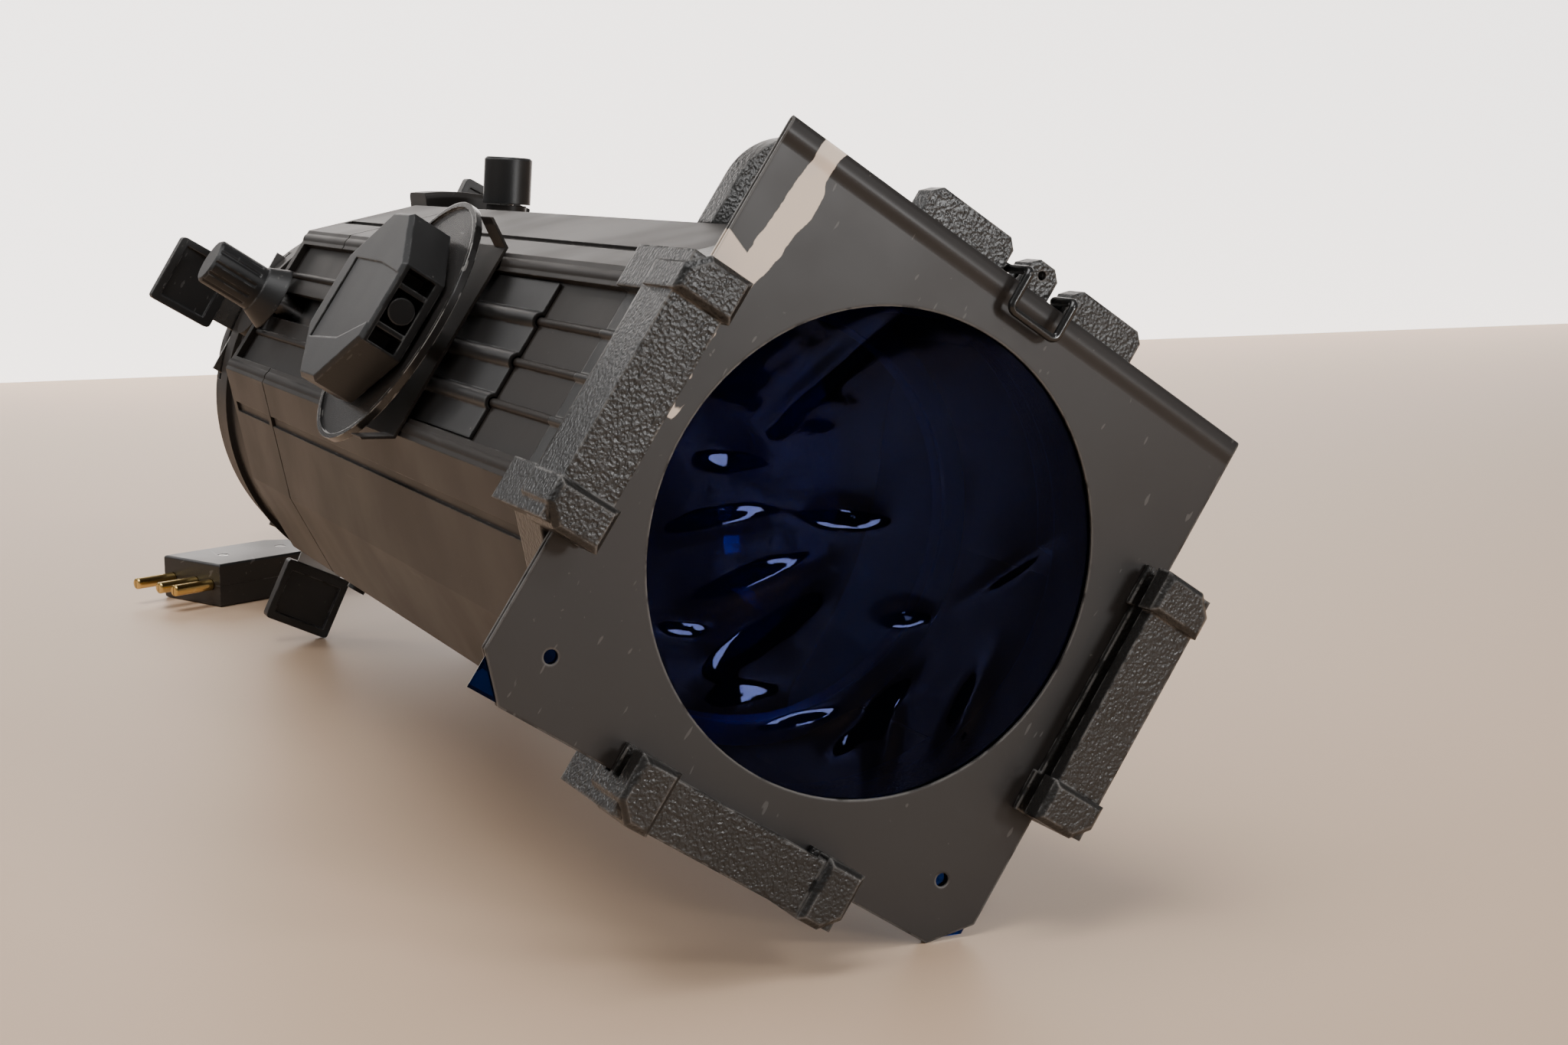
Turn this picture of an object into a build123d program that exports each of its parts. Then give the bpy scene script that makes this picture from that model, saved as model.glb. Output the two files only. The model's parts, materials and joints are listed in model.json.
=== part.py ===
from build123d import *
import os
from math import cos, hypot, pi, radians, sin, tan

# Zoom ellipsoidal spotlight without its yoke, lying on a surface, with its lead and plug.
# Every piece is made in the fixture's own axes, in millimetres: x to the right seen from
# the lens end, y along the optical axis from the lens end to the lamp, z up as it hangs.
# At export the fixture is rolled about its optical axis and set down on the surface.

# Lying pose
ROLL = 33.0                    # roll about the optical axis, degrees

# Colour frame and gel
FRAME_SIDE = 190.5
FRAME_THICK = 3.0
FRAME_SHEET = 0.9
FRAME_APERTURE = 151.5         # diameter
FRAME_CUT = 12.5               # leg of the cut lower corners
FRAME_HOLE = 4.5
FRAME_HOLE_AT = FRAME_SIDE / 2 - 18.75
GEL_SIDE = FRAME_SIDE - 3.5
GEL_THICK = 0.3

# Barrel section (half sizes) and lengths
SIDE_X = 104.5                 # flat of the side walls
SIDE_Z = 36.5                  # upper edge of the side flat
FACET_X, FACET_Z = 68.5, 72.9  # between the two corner facets
TOP_X, TOP_Z = 35.6, 91.3      # edge of the top and bottom flats
WALL = 3.0
GROOVE_DEPTH = 1.2
GROOVE_SHARES = (0.29, 0.376)  # where the groove lies along the facet
CASTING_END = 30.0
SHELL_END = 360.0
SHELL_GAP = 1.5
TAIL_END = SHELL_END + 76.0
TAIL_WALL = 6.0
TAIL_WEB = 5.0                 # web that ties the lip to the tail's wall
LIP = 12.0                     # overlap of a casting inside the shells

# Side panel, rails and ribs
PANEL_Z = 34.4
WINDOW_Z = 29.5                # half height of the recess that shows
RAIL_RADIUS = 3.5
RIB_RADIUS = 1.5
RIB_Z = 15.0
SLOT_Z = 6.5                   # half height of the slot for the knob bolts
SLOT_START, SLOT_END = 120.0, SHELL_END + 67.0

# Holders of the colour frame
HOLDER_HALF = 44.5
HOLDER_IN, HOLDER_OUT = FRAME_SIDE / 2 - 7.25, FRAME_SIDE / 2 + 11.75
HOLDER_FRONT = -13.0
BLOCK_FRONT = -16.0
BLOCK_LENGTH = 14.0
ACCESSORY_SLOT = (-7.6, -2.6)
FRAME_SLOT = (-0.4, 3.6)
FLANGE_FRONT = 8.0
RECESS_START = 10.0            # where the sunken sides with their ribs begin

# Spring clip and its pads
WIRE = 1.4                     # wire radius
CLIP_LEFT, CLIP_RIGHT = -5.5, 13.5
CLIP_TOP, CLIP_LOW = FRAME_SIDE / 2 + 3.25, FRAME_SIDE / 2 - 10.25
CLIP_FRONT, CLIP_PIVOT = -5.0, 9.0
PADS = ((-43.0, -9.0), (-2.0, 10.0), (17.0, 47.0))
PAD_TOP = CLIP_TOP + 7.5
PAD_FRONT, PAD_REAR = 5.0, 14.0

# Guide rods and lens carriages
CARRIAGE_RADIUS = 79.0
FRONT_BORE = CARRIAGE_RADIUS + 1.0
ROD_RADIUS = 3.0
ROD_Z = CARRIAGE_RADIUS + 5.5
FRONT_LENS_RADIUS = CARRIAGE_RADIUS - 5.0
FRONT_LENS_Y = 90.0            # flat side of the front lens
LENS_LIP = 2.0                 # depth of the lip that a lens seats on
FRONT_KNOB_Y = 185.0
REAR_LENS_RADIUS = 55.0
REAR_KNOB_Y = SHELL_END + 57.0
REAR_CARRIAGE = (SHELL_END - 15.0, SHELL_END + 20.0)
FRONT_LENS_SIZE = (32.0, 6.0)   # thickness in the middle and at the edge
REAR_LENS_SIZE = (22.0, 5.0)
ROD_SUPPORT_Y = SHELL_END + 29.0
RUNNING = 0.08                 # radial clearance of running fits
CLEAR = 0.3                    # clearance between parts that pass each other

# Knobs on the left side
BOLT_RADIUS = 5.0
DISC_RADIUS = 48.6
DISC_FACE = 116.5
GRIP_BASE, GRIP_FACE = 117.0, 133.5
GRIP_CORNERS = ((10.0, 34.0), (36.0, 15.0))   # two corners of the octagon, from its middle
GRIP_POCKET = 28.0             # length of the pocket in the grip's front side
BRACKET_TAB = 44.0             # how far the bracket's bent ends reach from its middle
REAR_KNOB_RADIUS = 10.5
REAR_KNOB_FACE = 139.0
SHIELD_FRONT, SHIELD_REAR = 99.0, 80.0   # shield ahead of and behind the knob

# Lock knob of the barrel rotation
LOCK_Y = TAIL_END - 33.0
LOCK_RADIUS = 10.8
LOCK_HEIGHT = 24.0
LOCK_SHARE = 0.88              # where the knob stands on the facet, 0 at its lower edge
LOCK_GROOVE = 3.6              # half width of the groove that the stud runs in

# Gate housing, shutters and lamp house
SPIGOT_OUT = 86.9
SPIGOT_IN = SPIGOT_OUT - 6.9
SPIGOT_START = TAIL_END - 38.0
GATE_RADIUS = 90.0
GATE_START = TAIL_END + 1.0
GATE_END = GATE_START + 104.0
GATE_RIBS = (15.0, 27.0, 77.0)  # behind the housing's front
GATE_WALL = 6.0
BOLT_CIRCLE = GATE_RADIUS - 4.5
HUMP_RADIUS = GATE_RADIUS + 14.5            # raised pad on the upper left of the housing
HUMP_ANGLES = (100.0, 129.0)
HUMP_Y = (GATE_START + 6.0, GATE_START + 33.0)
PATTERN_SLOT = (GATE_END - 15.0, GATE_END - 7.5)
PIVOT_Y = GATE_START + 53.0
PIVOT_THREAD = 6.0
PIVOT_FACE = GATE_RADIUS + 6.0
PIVOT_DEPTH = 18.0
BLADE = 0.8
BLADE_GAP = 0.35
GATE_APERTURE = 38.0
HANDLE_WIDE = 34.0
HANDLE_LONG = 32.0
HANDLE_THICK = 7.0
BLADE_LONG = 142.0             # blade and stem together
SHUTTER_TRAVEL = 52.0
LAMP_HOUSE_END = GATE_END + 159.0
CAP_RADIUS = 45.0
CAP_END = LAMP_HOUSE_END + 52.0
CAP_FLANGE = CAP_RADIUS + 13.0
CAP_SCREW_X = CAP_RADIUS + 6.5
GLAND_Z = -30.0
GLAND_LENGTH = 26.0

# Lead and plug
CORD_RADIUS = 4.5
COIL_RADIUS = 50.0
PLUG_LENGTH, PLUG_WIDE, PLUG_THICK = 84.0, 50.0, 24.0
PIN_RADIUS = 3.15
PIN_LENGTH = 25.0
PIN_COLLAR = 0.6               # short neck between the plug's face and the full pin
PIN_ROW = (-17.0, 3.5, 17.0)   # each pin across the plug
PLUG_FACE = (-82.6, 676.0)      # middle of the pins' face, from the optical axis and frame front
PLUG_TURN = 205.97              # direction of the pins seen from above, degrees

# Route of the lead from the strain relief to the coil and from the coil to the plug,
# from the optical axis, the frame front and the surface.
COIL_CENTRE = (62.0, 858.0)
COIL_WIRE_RADIUS = 47.0
COIL_TOP = 24.75
LEAD_POINTS = [
    (-16.3, 806.0, 99.0),
    (-14.0, 834.0, 90.0),
    (-4.0, 861.0, 72.0),
    (12.0, 884.0, 50.0),
    (34.0, 900.0, 32.0),
    (62.0, 905.0, 24.75),
]
TAIL_POINTS = [
    (109.0, 858.0, 4.5),
    (109.5, 828.0, 4.5),
    (103.0, 797.0, 4.5),
    (84.0, 768.0, 4.5),
    (54.0, 745.0, 6.5),
    (24.0, 728.0, 12.0),
]

# Each shutter: direction in the x-z plane in degrees, and radius of the handle's outer end
SHUTTERS = {
    "top": (95.0, 116.0),
    "left": (182.0, 132.0),
    "right": (-25.0, 136.7),
    "bottom": (-82.0, 130.0),
}


# ---------------------------------------------------------------- building helpers

def across(y):
    """Plane across the optical axis; its local axes are the fixture's x and z."""
    return Plane(origin=(0, y, 0), x_dir=(1, 0, 0), z_dir=(0, -1, 0))


def prism(outline, y0, y1):
    return extrude(across(y0) * outline, amount=y0 - y1)


def outline_of(points):
    return make_face(Polyline(*points, close=True))


def block(x, y, z):
    """Box from three (low, high) pairs."""
    middle = [(low + high) / 2 for low, high in (x, y, z)]
    sizes = [high - low for low, high in (x, y, z)]
    return Pos(*middle) * Box(*sizes)


def rod(start, end, radius):
    start, end = Vector(*start), Vector(*end)
    return extrude(Plane(origin=start, z_dir=end - start) * Circle(radius), amount=(end - start).length)


def ring(outer, inner, y0, y1):
    return prism(Circle(outer) - Circle(inner), y0, y1)


def turned(profile):
    """Solid of revolution about the optical axis from (radius, y) points."""
    return revolve(outline_of(profile), axis=Axis.Y, revolution_arc=360)


def barrel_section(grow=0.0):
    quarter = [(SIDE_X, SIDE_Z), (FACET_X, FACET_Z), (TOP_X, TOP_Z)]
    right = [(x, -z) for x, z in reversed(quarter)] + quarter
    left = [(-x, -z) for x, z in right]
    section = outline_of(right + left)
    return offset(section, grow, kind=Kind.INTERSECTION) if grow else section


def mirrored(shape):
    return [shape, mirror(shape, about=Plane.YZ)]


def joined(shapes):
    shapes = list(shapes)
    return shapes[0].fuse(*shapes[1:]) if len(shapes) > 1 else shapes[0]


# ---------------------------------------------------------------- front end

def holder_bar(across_half, slot_depth):
    """Bar along z at x = HOLDER_IN..HOLDER_OUT with the two slots open towards the axis."""
    inner = slot_depth
    bar = block((HOLDER_IN, HOLDER_OUT - 1), (HOLDER_FRONT, FLANGE_FRONT), (-across_half + 1, across_half - 1))
    bar += block((min(inner + 1.5, SIDE_X - WALL), HOLDER_OUT - 1), (FRAME_SLOT[1], CASTING_END), (-across_half + 1, across_half - 1))
    for side in (-1, 1):
        low, high = sorted((side * (across_half - BLOCK_LENGTH), side * across_half))
        end = block((HOLDER_IN - 2, HOLDER_OUT), (BLOCK_FRONT, FLANGE_FRONT), (low, high))
        corners = end.edges().filter_by(Axis.Y).group_by(Axis.X)[-1]
        outer = corners.sort_by(Axis.Z)[-1 if side > 0 else 0]
        end = chamfer(outer, 6.0)
        bar += chamfer(end.faces().sort_by(Axis.Y)[0].edges(), 1.8)
    for low, high in (ACCESSORY_SLOT, FRAME_SLOT):
        bar -= block((0, inner), (low, high), (-across_half - 1, across_half + 1))
    return bar


def top_pad(low, high):
    pad = block((low, high), (PAD_FRONT, PAD_REAR), (TOP_Z - 8, PAD_TOP))
    upper = pad.edges().filter_by(Axis.Y).group_by(Axis.Z)[-1]
    return chamfer(upper, 3.0)


def side_rib(side, z, y0, y1):
    """Half-round rib on the sunken side; side is -1 for the left, 1 for the right."""
    face = SIDE_X - WALL
    rib = rod((side * face, y0, z), (side * face, y1, z), RIB_RADIUS)
    return rib & block(sorted((side * (face - 1), side * 120)), (y0 - 1, y1 + 1), (z - 5, z + 5))


def lip(y0, y1):
    """Casting lip inside the shells, above and below the side panels."""
    body = prism(barrel_section(-WALL - 0.1) - Circle(FRONT_BORE + 1), y0, y1)
    return body - block((-120, 120), (y0 - 1, y1 + 1), (-SIDE_Z, SIDE_Z))


def front_casting():
    slot_depth = FRAME_SIDE / 2 + 0.65
    body = prism(barrel_section() - Circle(FRONT_BORE), FLANGE_FRONT, CASTING_END)
    body += lip(CASTING_END, CASTING_END + LIP)
    bar = holder_bar(HOLDER_HALF, slot_depth)
    for part in mirrored(bar):
        body += part
    body += Rot(0, 90, 0) * holder_bar(HOLDER_HALF - 2, slot_depth)
    body += block((-HOLDER_HALF + 3, HOLDER_HALF - 3), (FRAME_SLOT[1], CASTING_END), (-slot_depth - 3, -TOP_Z + 2))
    for low, high in PADS:
        body += top_pad(low, high)
    face = SIDE_X - WALL
    for side in (-1, 1):
        recess = sorted((side * face, side * (HOLDER_OUT + 1)))
        body -= block(recess, (RECESS_START, CASTING_END + 1), (-WINDOW_Z, WINDOW_Z))
        for z in (-RIB_Z, 0, RIB_Z):
            body += side_rib(side, z, RECESS_START - 1, CASTING_END)
        body -= rod((0, 14, side * ROD_Z), (0, CASTING_END + LIP + 1, side * ROD_Z), ROD_RADIUS + RUNNING)
    body -= rod((-15, CLIP_PIVOT, CLIP_TOP), (23, CLIP_PIVOT, CLIP_TOP), WIRE + RUNNING)
    body -= rod((4, 0, PAD_TOP - 4), (4, 20, PAD_TOP - 4), 1.5)
    return body - shell_screw_holes()


def colour_frame():
    half = FRAME_SIDE / 2
    fold = FRAME_THICK / 2
    cut = half - FRAME_CUT
    outline = [(-cut, -half), (cut, -half), (half, -cut), (half, half - fold), (-half, half - fold), (-half, -cut)]
    leaf = outline_of(outline) - Circle(FRAME_APERTURE / 2)
    for side in (-1, 1):
        leaf -= Pos(side * FRAME_HOLE_AT, -FRAME_HOLE_AT + 1) * Circle(FRAME_HOLE / 2)
    fold_plane = Plane(origin=(-half, fold, half - fold), x_dir=(0, 1, 0), z_dir=(1, 0, 0))
    bend = Circle(fold) - Circle(fold - FRAME_SHEET)
    bend -= Pos(0, -fold) * Rectangle(4 * fold, 2 * fold)
    frame = prism(leaf, 0, FRAME_SHEET) + prism(leaf, FRAME_THICK - FRAME_SHEET, FRAME_THICK)
    return frame + extrude(fold_plane * bend, amount=FRAME_SIDE)


def gel_film():
    half = GEL_SIDE / 2
    y0 = (FRAME_THICK - GEL_THICK) / 2
    film = prism(Pos(0, -1) * Rectangle(2 * half, 2 * half), y0, y0 + GEL_THICK)
    below = Pos(0, 0, -lying_height() - 49.2) * Box(400, 40, 100)
    return film - Rot(0, -ROLL, 0) * below


def gel_clip():
    points = [
        (CLIP_LEFT - 8.5, CLIP_PIVOT, CLIP_TOP),
        (CLIP_LEFT, CLIP_PIVOT, CLIP_TOP),
        (CLIP_LEFT, CLIP_FRONT, CLIP_TOP),
        (CLIP_LEFT, CLIP_FRONT, CLIP_LOW),
        (CLIP_RIGHT, CLIP_FRONT, CLIP_LOW),
        (CLIP_RIGHT, CLIP_FRONT, CLIP_TOP),
        (CLIP_RIGHT, CLIP_PIVOT, CLIP_TOP),
        (CLIP_RIGHT + 8.5, CLIP_PIVOT, CLIP_TOP),
    ]
    path = FilletPolyline(*points, radius=2.2)
    return sweep(Plane(origin=path @ 0, z_dir=path % 0) * Circle(WIRE), path=path)


# ---------------------------------------------------------------- barrel

def screw_places():
    for y in (CASTING_END + LIP / 2, SHELL_END - LIP / 2):
        for x in (-25.0, 25.0):
            for side in (-1, 1):
                yield x, y, side


def shell_screw_holes():
    return joined(rod((x, y, side * 80), (x, y, side * 100), 2.1) for x, y, side in screw_places())


def shell_screws():
    screws = []
    for x, y, side in screw_places():
        shank = rod((x, y, side * (TOP_Z - 8)), (x, y, side * TOP_Z), 2.0)
        head = rod((x, y, side * TOP_Z), (x, y, side * (TOP_Z + 2.2)), 4.0)
        head -= rod((x, y, side * (TOP_Z + 1.0)), (x, y, side * (TOP_Z + 3)), 1.6)
        screws.append(shank + head)
    return Compound(children=screws)


def facet_groove(y0, y1):
    """Shallow channel along the upper right facet."""
    run = Vector(FACET_X - SIDE_X, FACET_Z - SIDE_Z)
    inward = Vector(-run.Y, run.X).normalized() * GROOVE_DEPTH
    start = Vector(SIDE_X, SIDE_Z)
    edges = [start + run * share for share in GROOVE_SHARES]
    corners = [edges[0] - inward, edges[1] - inward, edges[1] + inward, edges[0] + inward]
    return prism(outline_of([(point.X, point.Y) for point in corners]), y0 - 1, y1 + 1)


def barrel_wall(y0, y1):
    """Wall of the barrel with the side windows, their beads and the facet grooves."""
    wall = prism(barrel_section() - barrel_section(-WALL), y0, y1)
    wall -= block((-120, 120), (y0 - 1, y1 + 1), (-WINDOW_Z, WINDOW_Z))
    bead = rod((SIDE_X - WALL, y0, SIDE_Z - RAIL_RADIUS), (SIDE_X - WALL, y1, SIDE_Z - RAIL_RADIUS), RAIL_RADIUS)
    bead -= block((0, SIDE_X - WALL), (y0 - 1, y1 + 1), (0, 50))
    groove = facet_groove(y0, y1)
    for part in mirrored(bead):
        wall += part
        wall += mirror(part, about=Plane.XY)
    for part in mirrored(groove):
        wall -= part
        wall -= mirror(part, about=Plane.XY)
    return wall


def barrel_shells():
    wall = barrel_wall(CASTING_END, SHELL_END) - shell_screw_holes()
    upper = wall & block((-150, 150), (0, 500), (0, 150))
    lower = wall & block((-150, 150), (0, 500), (-150, 0))
    return upper, lower


def side_panel(side, slotted):
    """Recessed side wall with three ribs; side is -1 for the left, 1 for the right."""
    face = SIDE_X - WALL
    x = sorted((side * face, side * (face - WALL)))
    panel = block(x, (CASTING_END, TAIL_END - TAIL_WALL), (-PANEL_Z, PANEL_Z))
    for z in (-RIB_Z, 0, RIB_Z):
        end = SLOT_START - 6 if slotted and z == 0 else TAIL_END - TAIL_WALL
        panel += side_rib(side, z, CASTING_END, end)
    if slotted:
        middle = Plane(origin=(side * face, (SLOT_START + SLOT_END) / 2, 0), x_dir=(0, 1, 0), z_dir=(1, 0, 0))
        slot = middle * SlotOverall(SLOT_END - SLOT_START, 2 * SLOT_Z)
        panel -= extrude(slot, amount=10, both=True)
    return panel


def top_handle():
    outer = Pos(0, 85) * RectangleRounded(132, 70, 26)
    inner = Pos(0, 78) * RectangleRounded(106, 58, 16)
    loop = prism(outer - inner, 94, 106)
    return loop - prism(barrel_section(), 90, 110)


def tail_casting():
    body = barrel_wall(SHELL_END + SHELL_GAP, TAIL_END)
    body += lip(SHELL_END - LIP, SHELL_END + SHELL_GAP + TAIL_WEB)
    web = prism(barrel_section() - Circle(FRONT_BORE + 1), SHELL_END + SHELL_GAP, SHELL_END + SHELL_GAP + TAIL_WEB)
    body += web - block((-120, 120), (0, 500), (-SIDE_Z, SIDE_Z))
    for side in (-1, 1):
        channel = sorted((side * (CARRIAGE_RADIUS - 9), side * (TOP_Z - WALL)))
        body -= block((-9.5, 9.5), (SHELL_END - LIP - 1, SHELL_END + SHELL_GAP + TAIL_WEB + 1), channel)
    body += prism(barrel_section() - Circle(SPIGOT_OUT + RUNNING), TAIL_END - TAIL_WALL, TAIL_END)
    base, normal = lock_axis()
    body += rod(base - normal * 4, base + normal * 2.5, LOCK_RADIUS - 1.8)
    body -= prism(Circle(SPIGOT_OUT + RUNNING), LOCK_Y - 15, LOCK_Y + 15)
    body -= rod(base - normal * 20, base + normal * 5, 3.0 + RUNNING)
    for side in (-1, 1):
        body -= rod((0, 300, side * ROD_Z), (0, ROD_SUPPORT_Y, side * ROD_Z), ROD_RADIUS + RUNNING)
    return body - shell_screw_holes()


def rod_support():
    y0, y1 = ROD_SUPPORT_Y, ROD_SUPPORT_Y + 5
    plate = prism(barrel_section(-WALL - 0.1) - Circle(CARRIAGE_RADIUS + 1), y0, y1)
    plate -= block((-120, 120), (0, 500), (-PANEL_Z - 1, PANEL_Z + 1))
    for side in (-1, 1):
        plate -= rod((0, y0 - 1, side * ROD_Z), (0, y0 + 2.5, side * ROD_Z), ROD_RADIUS + RUNNING)
    return plate


def guide_rods():
    start, end = 14, ROD_SUPPORT_Y + 2.5
    rods = [rod((0, start, side * ROD_Z), (0, end, side * ROD_Z), ROD_RADIUS) for side in (-1, 1)]
    return Compound(children=rods)


# ---------------------------------------------------------------- lens carriages and knobs

def carriage(lens_radius, y0, y1):
    """Ring that runs on the guide rods, with a seat for its lens inside."""
    body = ring(CARRIAGE_RADIUS, CARRIAGE_RADIUS - 4, y0, y1)
    body += ring(CARRIAGE_RADIUS - 1, lens_radius - 3, y0, y0 + LENS_LIP)
    body += ring(lens_radius + 4, lens_radius + 0.1, y0, y1)
    for side in (-1, 1):
        body += block((-8, 8), (y0, y1), sorted((side * (CARRIAGE_RADIUS - 3), side * (ROD_Z + 2.5))))
        body -= rod((0, y0 - 1, side * ROD_Z), (0, y1 + 1, side * ROD_Z), ROD_RADIUS + RUNNING)
    return body


def front_carriage():
    y0, y1 = FRONT_LENS_Y - LENS_LIP, FRONT_KNOB_Y + 22
    body = carriage(FRONT_LENS_RADIUS, y0, y1)
    boss = block((-96, -CARRIAGE_RADIUS + 3), (FRONT_KNOB_Y - 9, FRONT_KNOB_Y + 9), (-9, 9))
    body += boss - prism(Circle(CARRIAGE_RADIUS - 2), y0, y1)
    return body - rod((-85, FRONT_KNOB_Y, 0), (-97, FRONT_KNOB_Y, 0), BOLT_RADIUS)


def rear_carriage():
    y0, y1 = REAR_CARRIAGE
    body = carriage(REAR_LENS_RADIUS, y0, y1)
    body += block((-93, -CARRIAGE_RADIUS + 2), (y0 + 4, y1 - 4), (-9, 9))
    body += block((-93, -SPIGOT_OUT - 1), (y0 + 4, REAR_KNOB_Y + 9), (-9, 9))
    return body - rod((0.9 - SPIGOT_OUT, REAR_KNOB_Y, 0), (-97, REAR_KNOB_Y, 0), BOLT_RADIUS)


def plano_convex(radius, y_flat, thick, edge):
    """Lens with its flat side at y_flat and its curved side towards the lamp end."""
    height = thick - edge
    sphere = (radius * radius + height * height) / (2 * height)
    y_edge = y_flat + edge
    arc = ThreePointArc((radius, y_edge), (radius * 0.6, lens_y(radius * 0.6, sphere, y_edge, height)), (0, y_edge + height))
    sides = Polyline((0, y_edge + height), (0, y_flat), (radius, y_flat), (radius, y_edge))
    return revolve(make_face(arc + sides), axis=Axis.Y, revolution_arc=360)


def lens_y(r, sphere, y_edge, height):
    """Height of the lens's curved side at radius r."""
    return y_edge + height - sphere + (sphere * sphere - r * r) ** 0.5


def front_lens():
    return plano_convex(FRONT_LENS_RADIUS - 0.2, FRONT_LENS_Y, *FRONT_LENS_SIZE)


def rear_lens():
    return plano_convex(REAR_LENS_RADIUS - 0.2, REAR_CARRIAGE[0] + LENS_LIP, *REAR_LENS_SIZE)


def lens_ring(radius, y_flat, thick, edge):
    """Ring that holds a lens in its carriage, resting on the rim of its curved side."""
    height = thick - edge
    sphere = ((radius - 0.2) ** 2 + height * height) / (2 * height)
    y0 = lens_y(radius - 4, sphere, y_flat + edge, height) + 0.05
    return ring(radius - 0.2, radius - 4, y0, y0 + 3)


def knob_bolt(y, start, end):
    return rod((-start, y, 0), (-end, y, 0), BOLT_RADIUS)


def shield(y0, y1, knob_y):
    """Sheet that covers the slot and rides over the three ribs."""
    face = SIDE_X - WALL
    inner, outer = face + CLEAR, face + CLEAR + 1.2
    plate = block((-outer, -inner), (y0, y1), (-WINDOW_Z + 0.9, WINDOW_Z - 0.9))
    for z in (-RIB_Z, 0, RIB_Z):
        plate += rod((-face, y0, z), (-face, y1, z), RIB_RADIUS + 1.8)
        plate -= rod((-face, y0 - 1, z), (-face, y1 + 1, z), RIB_RADIUS + 0.6)
    plate -= block((-inner, 0), (y0 - 1, y1 + 1), (-40, 40))
    return plate - knob_bolt(knob_y, inner - 20, outer + 9) - rod((-90, knob_y, 0), (-120, knob_y, 0), BOLT_RADIUS + 0.2)


def slide_bracket():
    """Strip behind the disc that bridges the two rails, with its front corners bent outwards."""
    x = -SIDE_X - 0.5 - CLEAR
    rear, middle, front = FRONT_KNOB_Y + 14, FRONT_KNOB_Y - 24, FRONT_KNOB_Y - 38
    bridge = block((x - 1, x), (front + 6, rear), (-38, 38))
    foot = [(x, -38), (x, 38), (x - 10, BRACKET_TAB), (x - 10.9, BRACKET_TAB - 0.5), (x - 1, 37.4),
            (x - 1, -37.4), (x - 10.9, 0.5 - BRACKET_TAB), (x - 10, -BRACKET_TAB)]
    strip = bridge + prism(outline_of(foot), front, middle - 2)
    return strip - rod((-90, FRONT_KNOB_Y, 0), (-120, FRONT_KNOB_Y, 0), BOLT_RADIUS + 0.2)


def knob_disc():
    seat = DISC_FACE - 1.0
    disc = rod((1.8 - seat, FRONT_KNOB_Y, 0), (-seat, FRONT_KNOB_Y, 0), DISC_RADIUS)
    rim = rod((-seat, FRONT_KNOB_Y, 0), (-DISC_FACE, FRONT_KNOB_Y, 0), DISC_RADIUS)
    rim -= rod((1.0 - seat, FRONT_KNOB_Y, 0), (-DISC_FACE - 1, FRONT_KNOB_Y, 0), DISC_RADIUS - 2)
    hole = rod((-90, FRONT_KNOB_Y, 0), (-120, FRONT_KNOB_Y, 0), BOLT_RADIUS + 0.2)
    return disc + rim - hole


def front_knob():
    """Hollow eight-sided grip with ribs and a boss in the pocket on its front side."""
    quarter = list(GRIP_CORNERS)
    lower = [(a, -b) for a, b in reversed(quarter)]
    outline = quarter + lower
    outline += [(-a, -b) for a, b in quarter] + [(-a, b) for a, b in reversed(quarter)]
    face_plane = Plane(origin=(-GRIP_BASE, FRONT_KNOB_Y, 0), x_dir=(0, 1, 0), z_dir=(-1, 0, 0))
    knob = extrude(face_plane * outline_of([(a, -b) for a, b in outline]), amount=GRIP_FACE - GRIP_BASE)
    knob = chamfer(knob.faces().sort_by(Axis.X)[0].edges(), 1.5)
    wide = GRIP_CORNERS[1][0]
    front = FRONT_KNOB_Y - wide
    half = GRIP_POCKET / 2
    pocket = block((-GRIP_FACE + 3, -GRIP_BASE - 3), (front - 1, front + 14), (-half, half))
    ribs = block((-GRIP_FACE, -GRIP_BASE), (front + 0.5, front + 14), (6.5, 8.5))
    ribs += block((-GRIP_FACE, -GRIP_BASE), (front + 0.5, front + 14), (-8.5, -6.5))
    middle = -(GRIP_BASE + GRIP_FACE) / 2
    ribs += rod((middle, front + 14, 0), (middle, front + 0.5, 0), 4.7)
    knob -= pocket - ribs
    band = [(-wide - 1, -8), (-wide - 1, 10.5), (-10, 13.5), (24, 14), (24, -19), (-10, -17)]
    band = face_plane * outline_of([(a, -b) for a, b in band])
    knob -= Pos(GRIP_BASE - GRIP_FACE, 0, 0) * extrude(band, amount=0.5, both=True)
    knob -= block((-GRIP_FACE - 1, -GRIP_FACE + 1.6), (FRONT_KNOB_Y + 24, FRONT_KNOB_Y + 25.4), (-19, 14))
    return knob - rod((-90, FRONT_KNOB_Y, 0), (-GRIP_FACE + 5, FRONT_KNOB_Y, 0), BOLT_RADIUS + RUNNING)


def rear_knob():
    profile_base = SIDE_X + 1.5
    foot = Solid.make_cone(15.0, REAR_KNOB_RADIUS + 0.5, 9.0,
                           plane=Plane(origin=(-profile_base, REAR_KNOB_Y, 0), z_dir=(-1, 0, 0)))
    grip = rod((-profile_base - 9, REAR_KNOB_Y, 0), (-REAR_KNOB_FACE, REAR_KNOB_Y, 0), REAR_KNOB_RADIUS)
    grip = chamfer(grip.faces().sort_by(Axis.X)[0].edges(), 1.2)
    knob = foot + grip
    for step in range(12):
        angle = radians(30 * step)
        dy, dz = (REAR_KNOB_RADIUS + 0.6) * cos(angle), (REAR_KNOB_RADIUS + 0.6) * sin(angle)
        knob -= rod((-profile_base - 12, REAR_KNOB_Y + dy, dz), (-REAR_KNOB_FACE - 1, REAR_KNOB_Y + dy, dz), 1.2)
    return knob - rod((-90, REAR_KNOB_Y, 0), (-REAR_KNOB_FACE + 8, REAR_KNOB_Y, 0), BOLT_RADIUS + RUNNING)


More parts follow.
